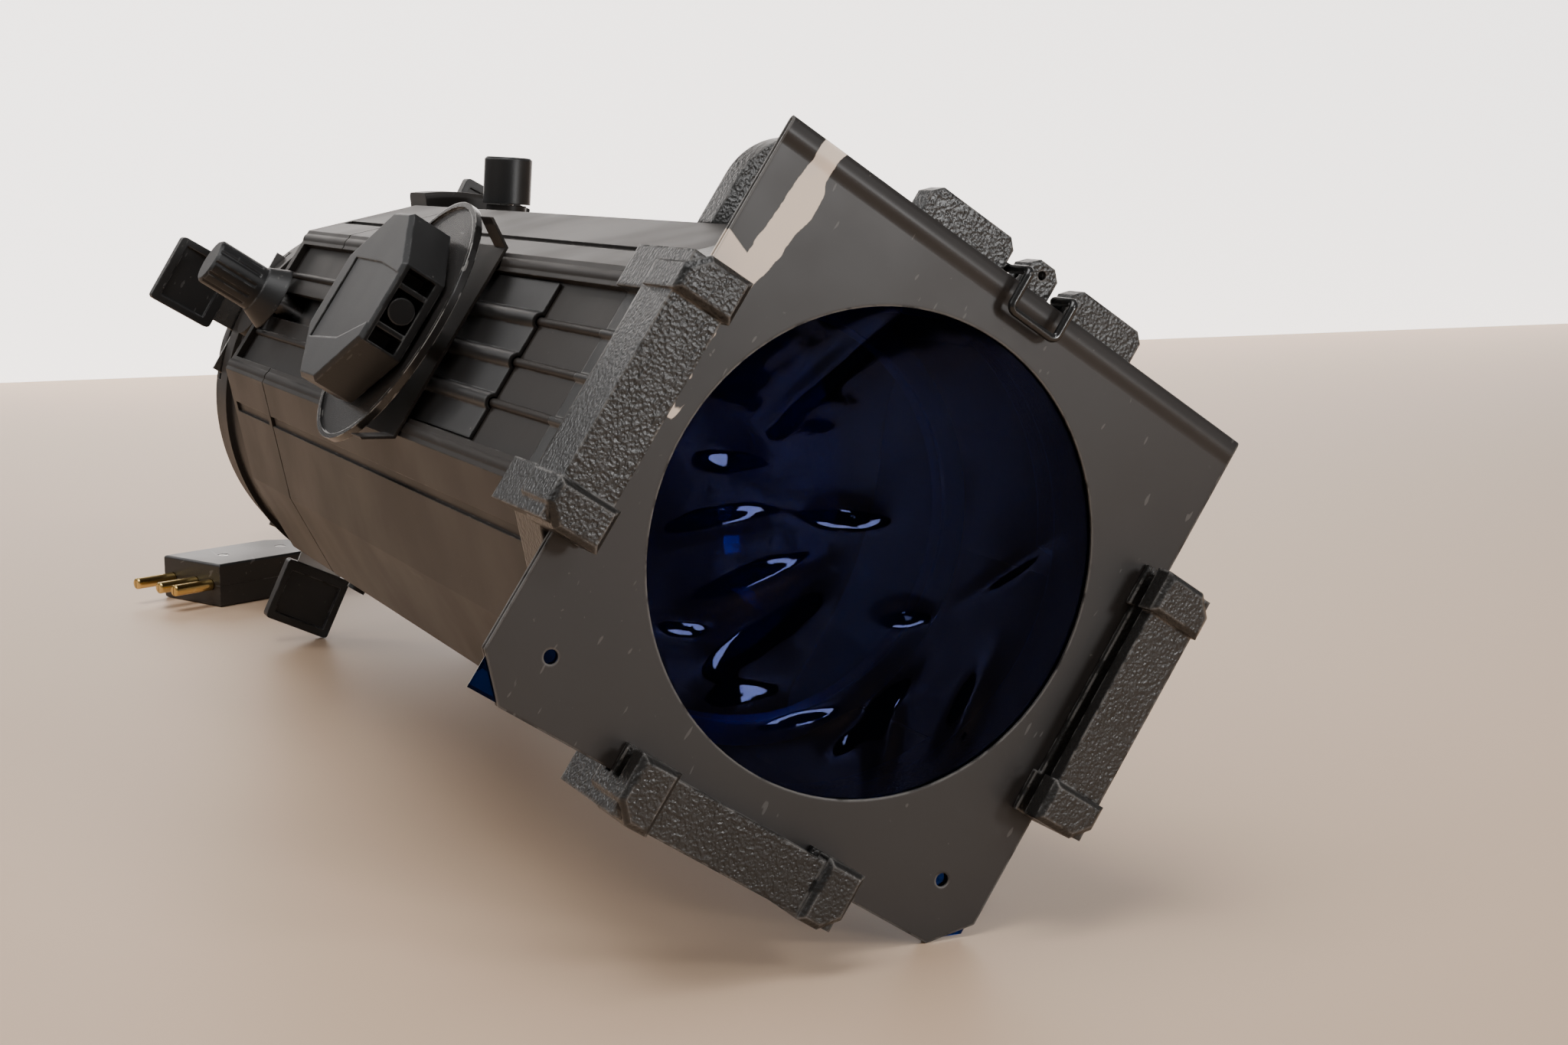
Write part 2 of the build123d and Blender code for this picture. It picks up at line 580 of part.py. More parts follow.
def lock_axis():
    """Place on the upper left facet and its outward normal, where the lock knob stands."""
    dx, dz = FACET_X - TOP_X, TOP_Z - FACET_Z
    length = hypot(dx, dz)
    base = Vector(LOCK_SHARE * dx - FACET_X, LOCK_Y, LOCK_SHARE * dz + FACET_Z)
    return base, Vector(-dz / length, 0, dx / length)


def lock_knob():
    base, normal = lock_axis()
    knob = rod(base + normal * 3.0, base + normal * LOCK_HEIGHT, LOCK_RADIUS)
    knob = chamfer(knob.faces().sort_by(Axis.Z)[-1].edges(), 1.0)
    return knob - rod(base, base + normal * 12.0, 3.0)


def lock_stud():
    base, normal = lock_axis()
    depth = hypot(base.X, base.Z) - (SPIGOT_OUT - 1) - 2 * CLEAR
    return rod(base - normal * depth, base + normal * 12.0, 3.0)


# ---------------------------------------------------------------- gate housing and shutters

def shutter_stack():
    """Low y of each blade in the order of SHUTTERS, and the end of the stack."""
    pitch = 2 * (BLADE + BLADE_GAP)
    starts = [GATE_END + BLADE_GAP + number * pitch for number in range(len(SHUTTERS))]
    return starts, starts[-1] + BLADE + BLADE_GAP


def post_angles():
    return (32.0, 135.0, 229.0, -53.5)


def gate_bolt_holes(radius):
    rods = []
    for angle in post_angles():
        x, z = BOLT_CIRCLE * cos(radians(angle)), BOLT_CIRCLE * sin(radians(angle))
        rods.append(rod((x, GATE_END - 12, z), (x, shutter_stack()[1] + 9, z), radius))
    return rods


def housing_hump():
    """Raised pad that covers part of the housing's rim."""
    low, high = [radians(angle) for angle in HUMP_ANGLES]
    reach = 2 * HUMP_RADIUS
    wedge = outline_of([(0, 0), (reach * cos(low), reach * sin(low)), (reach * cos(high), reach * sin(high))])
    pad = prism((Circle(HUMP_RADIUS) - Circle(GATE_RADIUS - 2)) & wedge, *HUMP_Y)
    return fillet(pad.edges().filter_by(GeomType.CIRCLE).group_by(SortBy.LENGTH)[-1], 3.0)


def gate_housing():
    rear_wall = GATE_END - GATE_WALL
    front_wall = GATE_START + GATE_WALL
    body = turned([
        (SPIGOT_IN, SPIGOT_START), (SPIGOT_OUT, SPIGOT_START),
        (SPIGOT_OUT, LOCK_Y - LOCK_GROOVE), (SPIGOT_OUT - 1, LOCK_Y - LOCK_GROOVE),
        (SPIGOT_OUT - 1, LOCK_Y + LOCK_GROOVE), (SPIGOT_OUT, LOCK_Y + LOCK_GROOVE),
        (SPIGOT_OUT, GATE_START), (GATE_RADIUS, GATE_START), (GATE_RADIUS, GATE_END),
        (GATE_APERTURE, GATE_END), (GATE_APERTURE, rear_wall), (GATE_RADIUS - 5, rear_wall),
        (GATE_RADIUS - 5, front_wall), (SPIGOT_IN, front_wall),
    ])
    for step in GATE_RIBS:
        y = GATE_START + step
        body += ring(GATE_RADIUS + 2.5, GATE_RADIUS - 1, y, y + 3)
    for side in (-1, 1):
        inner, face = side * (PIVOT_FACE - PIVOT_DEPTH - 3), side * PIVOT_FACE
        body += rod((inner, PIVOT_Y, 0), (face, PIVOT_Y, 0), 17.0)
        body -= rod((side * (PIVOT_FACE - PIVOT_DEPTH), PIVOT_Y, 0), (side * (PIVOT_FACE + 5), PIVOT_Y, 0), PIVOT_THREAD)
    for angle in post_angles():
        x, z = BOLT_CIRCLE * cos(radians(angle)), BOLT_CIRCLE * sin(radians(angle))
        body += rod((x, rear_wall - 8, z), (x, rear_wall + 1, z), 4.0)
    body += housing_hump()
    body -= block((-36, 36), PATTERN_SLOT, (60, 130))
    notch = block((83, 130), (GATE_END - 4, GATE_END + 1), (-HANDLE_WIDE / 2 - 1, HANDLE_WIDE / 2 + 1))
    body -= Rot(0, -SHUTTERS["top"][0], 0) * notch
    for hole in gate_bolt_holes(2.1):
        body -= hole
    return body


def pattern_runner():
    """Two guide plates joined at the bottom, which hold a pattern or iris between them."""
    y0, y1 = PATTERN_SLOT
    plate = (Pos(0, 14.5) * Rectangle(88, 131)) & Circle(GATE_RADIUS - GATE_WALL) - Circle(GATE_APERTURE)
    body = prism(plate, y0 - 1.5, y0) + prism(plate, y1, GATE_END - GATE_WALL)
    return body + block((-40, 40), (y0 - 1.5, GATE_END - GATE_WALL), (-52.5, -51))


def gate_posts():
    """Posts between the gate and the lamp house, with a window for each shutter between them."""
    end = shutter_stack()[1]
    body = ring(GATE_RADIUS, GATE_RADIUS - 8, GATE_END, end)
    for angle, _ in SHUTTERS.values():
        body -= Rot(0, -angle, 0) * block((0, 150), (GATE_END - 1, end + 1), (-36, 36))
    for hole in gate_bolt_holes(2.1):
        body -= hole
    return body


def shutter_spacers():
    starts, _ = shutter_stack()
    rings = [ring(GATE_RADIUS - 8.2, GATE_APERTURE + 1, y + BLADE + BLADE_GAP, y + 2 * BLADE + BLADE_GAP)
             for y in starts[:-1]]
    return Compound(children=rings)


def shutter_blade(name):
    number = list(SHUTTERS).index(name)
    y = shutter_stack()[0][number]
    angle, outer = SHUTTERS[name]
    inner = outer - BLADE_LONG
    plate = block((inner, outer - 44), (y, y + BLADE), (-33, 33))
    plate += block((outer - 45, outer - 8), (y, y + BLADE), (-12, 12))
    return Rot(0, -angle, 0) * plate


def shutter_handle(name):
    number = list(SHUTTERS).index(name)
    y = shutter_stack()[0][number] + BLADE / 2
    angle, outer = SHUTTERS[name]
    start = outer - HANDLE_LONG
    half = HANDLE_WIDE / 2
    plate = block((start, outer), (y - HANDLE_THICK / 2, y + HANDLE_THICK / 2), (-half, half))
    plate = fillet(plate.edges().filter_by(Axis.Y), 2.0)
    for side in (-1, 1):
        low, high = sorted((y + side * HANDLE_THICK / 2, y + side * (HANDLE_THICK / 2 - 2)))
        plate -= block((start + 5, outer - 4), (low, high), (-half + 3.5, half - 3.5))
    plate -= block((start - 1, outer - 8), (y - BLADE / 2, y + BLADE / 2), (-12, 12))
    return Rot(0, -angle, 0) * plate


def gate_bolts():
    return Compound(children=gate_bolt_holes(2.0))


# ---------------------------------------------------------------- lamp house

def lamp_house():
    start = shutter_stack()[1]
    outer = [(GATE_RADIUS - 6, start), (GATE_RADIUS - 8, start + 12), (78, start + 30), (56, LAMP_HOUSE_END - 14),
             (CAP_FLANGE, LAMP_HOUSE_END - 8), (CAP_FLANGE, LAMP_HOUSE_END)]
    inner = [(CAP_RADIUS, LAMP_HOUSE_END), (CAP_RADIUS, LAMP_HOUSE_END - 8), (53, LAMP_HOUSE_END - 14),
             (75, start + 30), (75, start + 6), (62, start + 6), (62, start)]
    body = turned(outer + inner)
    body += ring(GATE_RADIUS - 1, 62, start, start + 6)
    for number in range(5):
        y = start + 42 + number * 17
        radius = 78 - (y - start - 30) * 22 / (LAMP_HOUSE_END - start - 44)
        body += ring(radius + 2.5, radius - 1.5, y, y + 3)
    for hole in gate_bolt_holes(2.1):
        body -= hole
    return body - cap_screw_holes()


def reflector_radius(y):
    """Inner radius of the ellipsoidal reflector at y."""
    start = shutter_stack()[1] + 16
    share = (y - start) / 100.0
    return 70.0 * (1 - share ** 2 * 0.9) ** 0.5


def reflector():
    start = shutter_stack()[1] + 16
    steps = [start + 100.0 * number / 12 for number in range(13)]
    inner = [(reflector_radius(y) - 2.5, y) for y in steps]
    outer = [(reflector_radius(y), y + 0.1) for y in steps]
    curve_in = Spline(*inner)
    curve_out = Spline(*reversed(outer))
    sides = Line(inner[-1], outer[-1]) + Line(outer[0], inner[0])
    return revolve(make_face(curve_in + curve_out + sides), axis=Axis.Y, revolution_arc=360)


def reflector_ring():
    start = shutter_stack()[1] + 8
    return ring(74.5, 66, start, start + 7.5)


def burner_cap():
    start = LAMP_HOUSE_END
    body = turned([(CAP_FLANGE, start), (CAP_FLANGE, start + 6), (CAP_RADIUS, start + 6), (CAP_RADIUS, CAP_END - 4),
                   (CAP_RADIUS - 4, CAP_END), (0, CAP_END), (0, CAP_END - 3), (CAP_RADIUS - 3, CAP_END - 3),
                   (CAP_RADIUS - 3, start)])
    for number in range(24):
        angle = radians(15 * number)
        x, z = CAP_RADIUS * cos(angle), CAP_RADIUS * sin(angle)
        body -= rod((x, start + 14, z), (x, CAP_END - 10, z), 1.5)
    body -= rod((0, CAP_END - 5, 0), (0, CAP_END + 1, 0), 5.0 + RUNNING)
    body -= cap_screw_holes()
    return body - rod((0, CAP_END - 5, GLAND_Z), (0, CAP_END + 1, GLAND_Z), 7.0)


def socket_plate():
    plate = ring(CAP_RADIUS - 4, 5.2, CAP_END - 24, CAP_END - 22)
    return plate - rod((0, CAP_END - 30, GLAND_Z), (0, CAP_END, GLAND_Z), 9.0)


def lamp_socket():
    body = prism(Rectangle(30, 24), CAP_END - 52, CAP_END - 24)
    for x in (-5.0, 5.0):
        body -= rod((x, CAP_END - 53, 0), (x, CAP_END - 38, 0), 1.7)
    return body


def lamp_base():
    body = prism(Circle(13), CAP_END - 72, CAP_END - 52)
    for number in range(3):
        body += prism(Circle(16), CAP_END - 70 + number * 6, CAP_END - 68 + number * 6)
    for x in (-5.0, 5.0):
        body += rod((x, CAP_END - 52, 0), (x, CAP_END - 40, 0), 1.5)
    return body


def lamp_envelope():
    end = CAP_END - 72
    body = rod((0, end, 0), (0, end - 46, 0), 9.5)
    return fillet(body.faces().sort_by(Axis.Y)[0].edges(), 8.0)


def adjust_shaft():
    return rod((0, CAP_END - 20, 0), (0, CAP_END + 16, 0), 5.0)


def adjust_knob():
    knob = ring(17, 5.0, CAP_END + 1, CAP_END + 14)
    for number in range(10):
        angle = radians(36 * number)
        x, z = 18 * cos(angle), 18 * sin(angle)
        knob -= rod((x, CAP_END, z), (x, CAP_END + 15, z), 2.5)
    return knob


def cap_screws():
    """Two knurled screws that hold the burner cap on the lamp house."""
    screws = []
    for side in (-1, 1):
        x = side * CAP_SCREW_X
        head = rod((x, LAMP_HOUSE_END + 6, 0), (x, LAMP_HOUSE_END + 15, 0), 5.0)
        for step in range(8):
            angle = radians(45 * step)
            dx, dz = 5.3 * cos(angle), 5.3 * sin(angle)
            head -= rod((x + dx, LAMP_HOUSE_END + 7, dz), (x + dx, LAMP_HOUSE_END + 16, dz), 0.8)
        shank = rod((x, LAMP_HOUSE_END - 6, 0), (x, LAMP_HOUSE_END + 6, 0), 2.0)
        screws.append(head + shank)
    return Compound(children=screws)


def cap_screw_holes():
    places = [(side * CAP_SCREW_X, LAMP_HOUSE_END) for side in (-1, 1)]
    return joined(rod((x, y - 8, 0), (x, y + 8, 0), 2.1) for x, y in places)


def strain_relief():
    end = CAP_END + GLAND_LENGTH
    body = turned([(5.0, CAP_END - 5), (6.9, CAP_END - 5), (6.9, CAP_END), (10, CAP_END), (10, CAP_END + 5),
                   (6.5, end), (0, end), (0, end - 3), (CORD_RADIUS + 0.2, end - 3), (CORD_RADIUS + 0.2, CAP_END - 5)])
    return Pos(0, 0, GLAND_Z) * body


# ---------------------------------------------------------------- placing on the surface

def lying_height():
    """Height of the optical axis: the frame's cut lower corner touches the surface."""
    half = FRAME_SIDE / 2
    return (half - FRAME_CUT) * sin(radians(ROLL)) + half * cos(radians(ROLL))


# ---------------------------------------------------------------- plug and lead, on the surface

def on_plug(shape):
    """Plug pieces are made with the pins along +x, then turned and set on the surface."""
    return Pos(PLUG_FACE[0], PLUG_FACE[1], 0) * Rot(0, 0, PLUG_TURN) * shape


def plug_half(upper):
    low, high = (PLUG_THICK / 2, PLUG_THICK) if upper else (0, PLUG_THICK / 2)
    wide = PLUG_WIDE / 2
    outline = [(0, -wide), (0, wide), (-PLUG_LENGTH + 14, wide), (-PLUG_LENGTH, wide - 13),
               (-PLUG_LENGTH, -wide + 13), (-PLUG_LENGTH + 14, -wide)]
    body = Pos(0, 0, low) * extrude(outline_of(outline), amount=high - low)
    edge = body.faces().sort_by(Axis.Z)[-1 if upper else 0].edges()
    body = fillet(edge, 1.5)
    for offset_y in PIN_ROW:
        body -= rod((-20, offset_y, PLUG_THICK / 2), (1, offset_y, PLUG_THICK / 2), PIN_RADIUS + 0.02)
    for x in (-22, -62):
        body -= rod((x, 0, -1), (x, 0, PLUG_THICK + 1), 1.6)
        if upper:
            body -= rod((x, 0, PLUG_THICK - 2.2), (x, 0, PLUG_THICK + 1), 3.2)
    return on_plug(body)


def plug_pins():
    pins = []
    for offset_y in PIN_ROW:
        pin = rod((PIN_COLLAR, offset_y, PLUG_THICK / 2), (PIN_LENGTH, offset_y, PLUG_THICK / 2), PIN_RADIUS)
        pin = fillet(pin.faces().sort_by(Axis.X)[-1].edges(), 1.2)
        pin += rod((-19, offset_y, PLUG_THICK / 2), (PIN_COLLAR, offset_y, PLUG_THICK / 2), PIN_RADIUS - 0.4)
        pin -= block((PIN_COLLAR, PIN_LENGTH + 1), (offset_y - 0.3, offset_y + 0.3), (0, PLUG_THICK))
        pins.append(on_plug(pin))
    return Compound(children=pins)


def plug_screws():
    screws = []
    for x in (-22, -62):
        head = rod((x, 0, PLUG_THICK - 2.0), (x, 0, PLUG_THICK - 0.2), 3.0)
        head -= block((x - 4, x + 4), (-0.4, 0.4), (PLUG_THICK - 1.0, PLUG_THICK + 1))
        screws.append(on_plug(head + rod((x, 0, 3), (x, 0, PLUG_THICK - 2.0), 1.5)))
    return Compound(children=screws)


def corner_radii(points):
    """Largest smooth bend at each corner: 0.45 of the shorter run over the tangent of half the turn."""
    radii = []
    for before, corner, after in zip(points, points[1:], points[2:]):
        into, out = corner - before, after - corner
        turn = radians(into.get_angle(out))
        radii.append(0.45 * min(into.length, out.length) / tan(turn / 2))
    return radii


def cord_tube(name, points):
    points = [Vector(*point) for point in points]
    radii = corner_radii(points)
    path = FilletPolyline(*points, radius=radii)
    tube = sweep(Plane(origin=path @ 0, z_dir=path % 0) * Circle(CORD_RADIUS), path=path)
    expected = pi * CORD_RADIUS ** 2 * path.length
    print(name, "radii", [round(radius) for radius in radii], "length", round(path.length, 1),
          "volume share", round(tube.volume / expected, 4))
    return tube


def gland_end():
    """Where the lead leaves the strain relief, in the lying pose."""
    roll = radians(ROLL)
    return GLAND_Z * sin(roll), CAP_END + GLAND_LENGTH, lying_height() + GLAND_Z * cos(roll)


def cord_lead():
    return cord_tube("cord_lead", [gland_end()] + LEAD_POINTS)


def cord_tail():
    turn = radians(PLUG_TURN)
    end = (PLUG_FACE[0] - PLUG_LENGTH * cos(turn), PLUG_FACE[1] - PLUG_LENGTH * sin(turn), PLUG_THICK / 2)
    return cord_tube("cord_tail", TAIL_POINTS + [end])


def cord_coil():
    height = COIL_TOP + CORD_RADIUS
    section = Pos(COIL_WIRE_RADIUS, height / 2) * Rectangle(2 * CORD_RADIUS + 1, height)
    coil = revolve(Plane.XZ * section, axis=Axis.Z, revolution_arc=360)
    return Pos(COIL_CENTRE[0], COIL_CENTRE[1], 0) * coil


# ---------------------------------------------------------------- all nodes

def fixture_nodes():
    upper, lower = barrel_shells()
    nodes = {
        "front_casting": front_casting(),
        "colour_frame": colour_frame(),
        "gel_film": gel_film(),
        "gel_clip": gel_clip(),
        "upper_shell": upper,
        "lower_shell": lower,
        "left_side_panel": side_panel(-1, True),
        "right_side_panel": side_panel(1, False),
        "shell_screws": shell_screws(),
        "top_handle": top_handle(),
        "tail_casting": tail_casting(),
        "rod_support": rod_support(),
        "guide_rods": guide_rods(),
        "front_carriage": front_carriage(),
        "front_lens": front_lens(),
        "front_lens_ring": lens_ring(FRONT_LENS_RADIUS, FRONT_LENS_Y, *FRONT_LENS_SIZE),
        "front_bolt": knob_bolt(FRONT_KNOB_Y, 86, GRIP_FACE - 5.5),
        "front_shield": shield(FRONT_KNOB_Y - SHIELD_FRONT, FRONT_KNOB_Y + SHIELD_REAR, FRONT_KNOB_Y),
        "slide_bracket": slide_bracket(),
        "front_knob_disc": knob_disc(),
        "front_knob": front_knob(),
        "rear_carriage": rear_carriage(),
        "rear_lens": rear_lens(),
        "rear_lens_ring": lens_ring(REAR_LENS_RADIUS, REAR_CARRIAGE[0] + LENS_LIP, *REAR_LENS_SIZE),
        "rear_bolt": knob_bolt(REAR_KNOB_Y, SPIGOT_OUT + 0.1, REAR_KNOB_FACE - 8.5),
        "rear_knob": rear_knob(),
        "lock_knob": lock_knob(),
        "lock_stud": lock_stud(),
        "gate_housing": gate_housing(),
        "pattern_runner": pattern_runner(),
        "gate_posts": gate_posts(),
        "shutter_spacers": shutter_spacers(),
        "gate_bolts": gate_bolts(),
        "lamp_house": lamp_house(),
        "reflector": reflector(),
        "reflector_ring": reflector_ring(),
        "burner_cap": burner_cap(),
        "cap_screws": cap_screws(),
        "socket_plate": socket_plate(),
        "lamp_socket": lamp_socket(),
        "lamp_base": lamp_base(),
        "lamp_envelope": lamp_envelope(),
        "adjust_shaft": adjust_shaft(),
        "adjust_knob": adjust_knob(),
        "strain_relief": strain_relief(),
    }
    for name in SHUTTERS:
        nodes[f"{name}_shutter"] = shutter_blade(name)
        nodes[f"{name}_shutter_handle"] = shutter_handle(name)
    return nodes


def lead_nodes():
    return {
        "cord_lead": cord_lead(),
        "cord_coil": cord_coil(),
        "cord_tail": cord_tail(),
        "plug_base": plug_half(False),
        "plug_cover": plug_half(True),
        "plug_pins": plug_pins(),
        "plug_screws": plug_screws(),
    }


def main():
    os.makedirs("parts", exist_ok=True)
    lying = Pos(0, 0, lying_height()) * Rot(0, ROLL, 0)
    placed = {name: lying * shape for name, shape in fixture_nodes().items()}
    boxes = [shape.bounding_box() for shape in placed.values()]
    low = [min(getattr(box.min, axis) for box in boxes) for axis in "XYZ"]
    high = [max(getattr(box.max, axis) for box in boxes) for axis in "XY"]
    to_origin = Pos(-(low[0] + high[0]) / 2, -(low[1] + high[1]) / 2, -low[2])
    placed.update(lead_nodes())
    for name, shape in placed.items():
        export_step(to_origin * shape, f"parts/{name}.step")
    print("nodes", len(placed), "origin shift", [round(value, 3) for value in to_origin.position])


if __name__ == "__main__":
    main()
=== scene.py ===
import json
import logging
import math
from dataclasses import dataclass
from enum import Enum
from typing import Iterable, Optional, Sequence

import bmesh
import bpy
from mathutils import Euler, Matrix, Vector, noise


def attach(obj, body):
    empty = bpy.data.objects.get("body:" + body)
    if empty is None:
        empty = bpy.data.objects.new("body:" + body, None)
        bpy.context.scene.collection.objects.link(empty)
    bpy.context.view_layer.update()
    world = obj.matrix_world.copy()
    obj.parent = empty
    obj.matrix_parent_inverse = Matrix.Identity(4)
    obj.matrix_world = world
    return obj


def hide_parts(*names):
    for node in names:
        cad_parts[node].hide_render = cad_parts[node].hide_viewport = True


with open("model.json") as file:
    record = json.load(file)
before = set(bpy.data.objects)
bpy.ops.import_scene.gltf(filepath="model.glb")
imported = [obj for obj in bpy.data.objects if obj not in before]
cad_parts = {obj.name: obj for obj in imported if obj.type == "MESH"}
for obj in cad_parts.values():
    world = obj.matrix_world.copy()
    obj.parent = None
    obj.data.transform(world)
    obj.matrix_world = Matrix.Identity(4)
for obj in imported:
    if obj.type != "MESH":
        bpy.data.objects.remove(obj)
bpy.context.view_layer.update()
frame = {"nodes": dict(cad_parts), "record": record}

LOG = logging.getLogger("spotlight")
MM = 0.001
ROLL = math.radians(33.0)
AXIS_IN_ROW = Vector((-0.938, -381.0, 124.952)) * MM
TO_ROW = Matrix.Translation(AXIS_IN_ROW) @ Matrix.Rotation(ROLL, 4, "Y")
TO_FIXTURE = TO_ROW.inverted()

Colour = tuple[float, float, float]
Socket = bpy.types.NodeSocket


class Body(str, Enum):
    """The rigid bodies that new pieces ride on."""

    HOUSING = "housing"
    BARREL = "barrel"
    FRONT_LENS = "front_lens_carriage"
    FRONT_GRIP = "front_grip"
    REAR_LENS = "rear_lens_carriage"
    REAR_GRIP = "rear_grip"
    LOCK_GRIP = "lock_grip"


class Grain(Enum):
    """The relief a surface has."""

    SATIN = "fine orange peel of sprayed paint"
    CAST = "coarse leathery skin of a painted casting"
    SPARKED = "fine matt skin of a moulded part"
    BRUSHED = "fine lines of drawn or turned metal"
    POLISHED = "no relief"


class NodeGraph:
    """One material's nodes, written as short calls. Patterns run in the fixture's own directions."""

    def __init__(self, name: str) -> None:
        """Start a material with one Principled shader.

        Args:
            name: the material's name.
        """
        self.material = bpy.data.materials.new(name)
        self.material.use_nodes = True
        self.nodes = self.material.node_tree.nodes
        self.links = self.material.node_tree.links
        self.nodes.clear()
        output = self.nodes.new("ShaderNodeOutputMaterial")
        self.shader = self.nodes.new("ShaderNodeBsdfPrincipled")
        self.links.new(self.shader.outputs["BSDF"], output.inputs["Surface"])
        coordinates = self.nodes.new("ShaderNodeTexCoord")
        turned = self.nodes.new("ShaderNodeMapping")
        turned.inputs["Location"].default_value = TO_FIXTURE.to_translation()
        turned.inputs["Rotation"].default_value = Euler((0.0, -ROLL, 0.0))
        self.links.new(coordinates.outputs["Object"], turned.inputs["Vector"])
        self.place: Socket = turned.outputs["Vector"]

    def fixed(self, **values: object) -> None:
        """Set constants on the shader, by socket name with underscores for spaces."""
        for key, value in values.items():
            socket = self.shader.inputs[key.replace("_", " ")]
            socket.default_value = (*value, 1.0) if isinstance(value, tuple) and len(value) == 3 else value

    def drive(self, name: str, value: Socket) -> None:
        """Link a value to one of the shader's sockets."""
        self.links.new(value, self.shader.inputs[name])

    def _feed(self, socket: Socket, value: object) -> None:
        """Link or set one input."""
        if isinstance(value, bpy.types.NodeSocket):
            self.links.new(value, socket)
        elif isinstance(value, tuple) and socket.type == "RGBA":
            socket.default_value = (*value[:3], 1.0)
        else:
            socket.default_value = value

    def math(self, operation: str, first: object, second: object = 0.0, third: object = 0.0) -> Socket:
        """One Math node.

        Args:
            operation: the node's operation.
            first, second, third: numbers or sockets.

        Returns:
            The value.
        """
        node = self.nodes.new("ShaderNodeMath")
        node.operation = operation
        for socket, value in zip(node.inputs, (first, second, third)):
            self._feed(socket, value)
        return node.outputs[0]

    def fit(self, value: Socket, low: float, high: float, to_low: float = 0.0,
            to_high: float = 1.0) -> Socket:
        """Map a value smoothly from one range to another, held at the ends."""
        node = self.nodes.new("ShaderNodeMapRange")
        node.interpolation_type = "SMOOTHSTEP"
        for socket, number in zip(node.inputs, (value, low, high, to_low, to_high)):
            self._feed(socket, number)
        return node.outputs["Result"]

    def mix(self, factor: object, first: object, second: object) -> Socket:
        """Mix two colours.

        Returns:
            The mixed colour.
        """
        node = self.nodes.new("ShaderNodeMix")
        node.data_type = "RGBA"
        self._feed(node.inputs[0], factor)
        self._feed(node.inputs[6], first)
        self._feed(node.inputs[7], second)
        return node.outputs[2]

    def stretched(self, factors: Sequence[float], turn: Sequence[float] = (0.0, 0.0, 0.0)) -> Socket:
        """The place, scaled along each direction."""
        node = self.nodes.new("ShaderNodeMapping")
        node.inputs["Scale"].default_value = tuple(factors)
        node.inputs["Rotation"].default_value = tuple(turn)
        self.links.new(self.place, node.inputs["Vector"])
        return node.outputs["Vector"]

    def noise(self, size: float, detail: float = 3.0, place: Optional[Socket] = None,
              twist: float = 0.0) -> Socket:
        """Noise with spots of about this size.

        Args:
            size: size of a spot, in metres.
            detail: octaves.
            place: coordinates, if not the plain ones.
            twist: distortion.

        Returns:
            The value, about 0.5 on average.
        """
        node = self.nodes.new("ShaderNodeTexNoise")
        node.inputs["Scale"].default_value = 0.5 / size
        node.inputs["Detail"].default_value = detail
        node.inputs["Distortion"].default_value = twist
        self.links.new(place or self.place, node.inputs["Vector"])
        return node.outputs["Fac"]

    def cells(self, size: float, place: Optional[Socket] = None) -> Socket:
        """Smooth cell distance with cells of about this size, in metres."""
        node = self.nodes.new("ShaderNodeTexVoronoi")
        node.feature = "SMOOTH_F1"
        node.inputs["Scale"].default_value = 1.0 / size
        self.links.new(place or self.place, node.inputs["Vector"])
        return node.outputs["Distance"]

    def axis(self, letter: str) -> Socket:
        """The place along one fixture direction."""
        node = self.nodes.new("ShaderNodeSeparateXYZ")
        self.links.new(self.place, node.inputs["Vector"])
        return node.outputs[letter]

    def curve(self, value: Socket, points: Iterable[tuple[float, float]]) -> Socket:
        """A drawn curve from 0..1 to 0..1.

        Args:
            value: the input, 0 to 1.
            points: the curve's points in order.

        Returns:
            The curve's value.
        """
        node = self.nodes.new("ShaderNodeFloatCurve")
        drawn = node.mapping.curves[0].points
        ordered = list(points)
        for point, (x, y) in zip(drawn, (ordered[0], ordered[-1])):
            point.location = (x, y)
        for x, y in ordered[1:-1]:
            drawn.new(x, y)
        node.mapping.update()
        self.links.new(value, node.inputs["Value"])
        return node.outputs["Value"]

    def bump(self, height: Socket, depth: float, below: Optional[Socket] = None) -> Socket:
        """Relief from a height.

        Args:
            height: value, 0 to 1.
            depth: real depth of the relief, in metres.
            below: a normal to add it to.

        Returns:
            The normal.
        """
        node = self.nodes.new("ShaderNodeBump")
        node.inputs["Distance"].default_value = depth
        self._feed(node.inputs["Height"], height)
        if below is not None:
            self.links.new(below, node.inputs["Normal"])
        return node.outputs["Normal"]

    def rounded(self, radius: float) -> Socket:
        """The normal of the surface with its edges rounded, by a radius in metres."""
        node = self.nodes.new("ShaderNodeBevel")
        node.samples = 4
        node.inputs["Radius"].default_value = radius
        return node.outputs["Normal"]

    def edges(self, radius: float) -> Socket:
        """How near an edge the surface is, 0 to about 0.3, within a radius in metres."""
        surface = self.nodes.new("ShaderNodeNewGeometry")
        dot = self.nodes.new("ShaderNodeVectorMath")
        dot.operation = "DOT_PRODUCT"
        self.links.new(self.rounded(radius), dot.inputs[0])
        self.links.new(surface.outputs["Normal"], dot.inputs[1])
        return self.math("SUBTRACT", 1.0, dot.outputs["Value"])

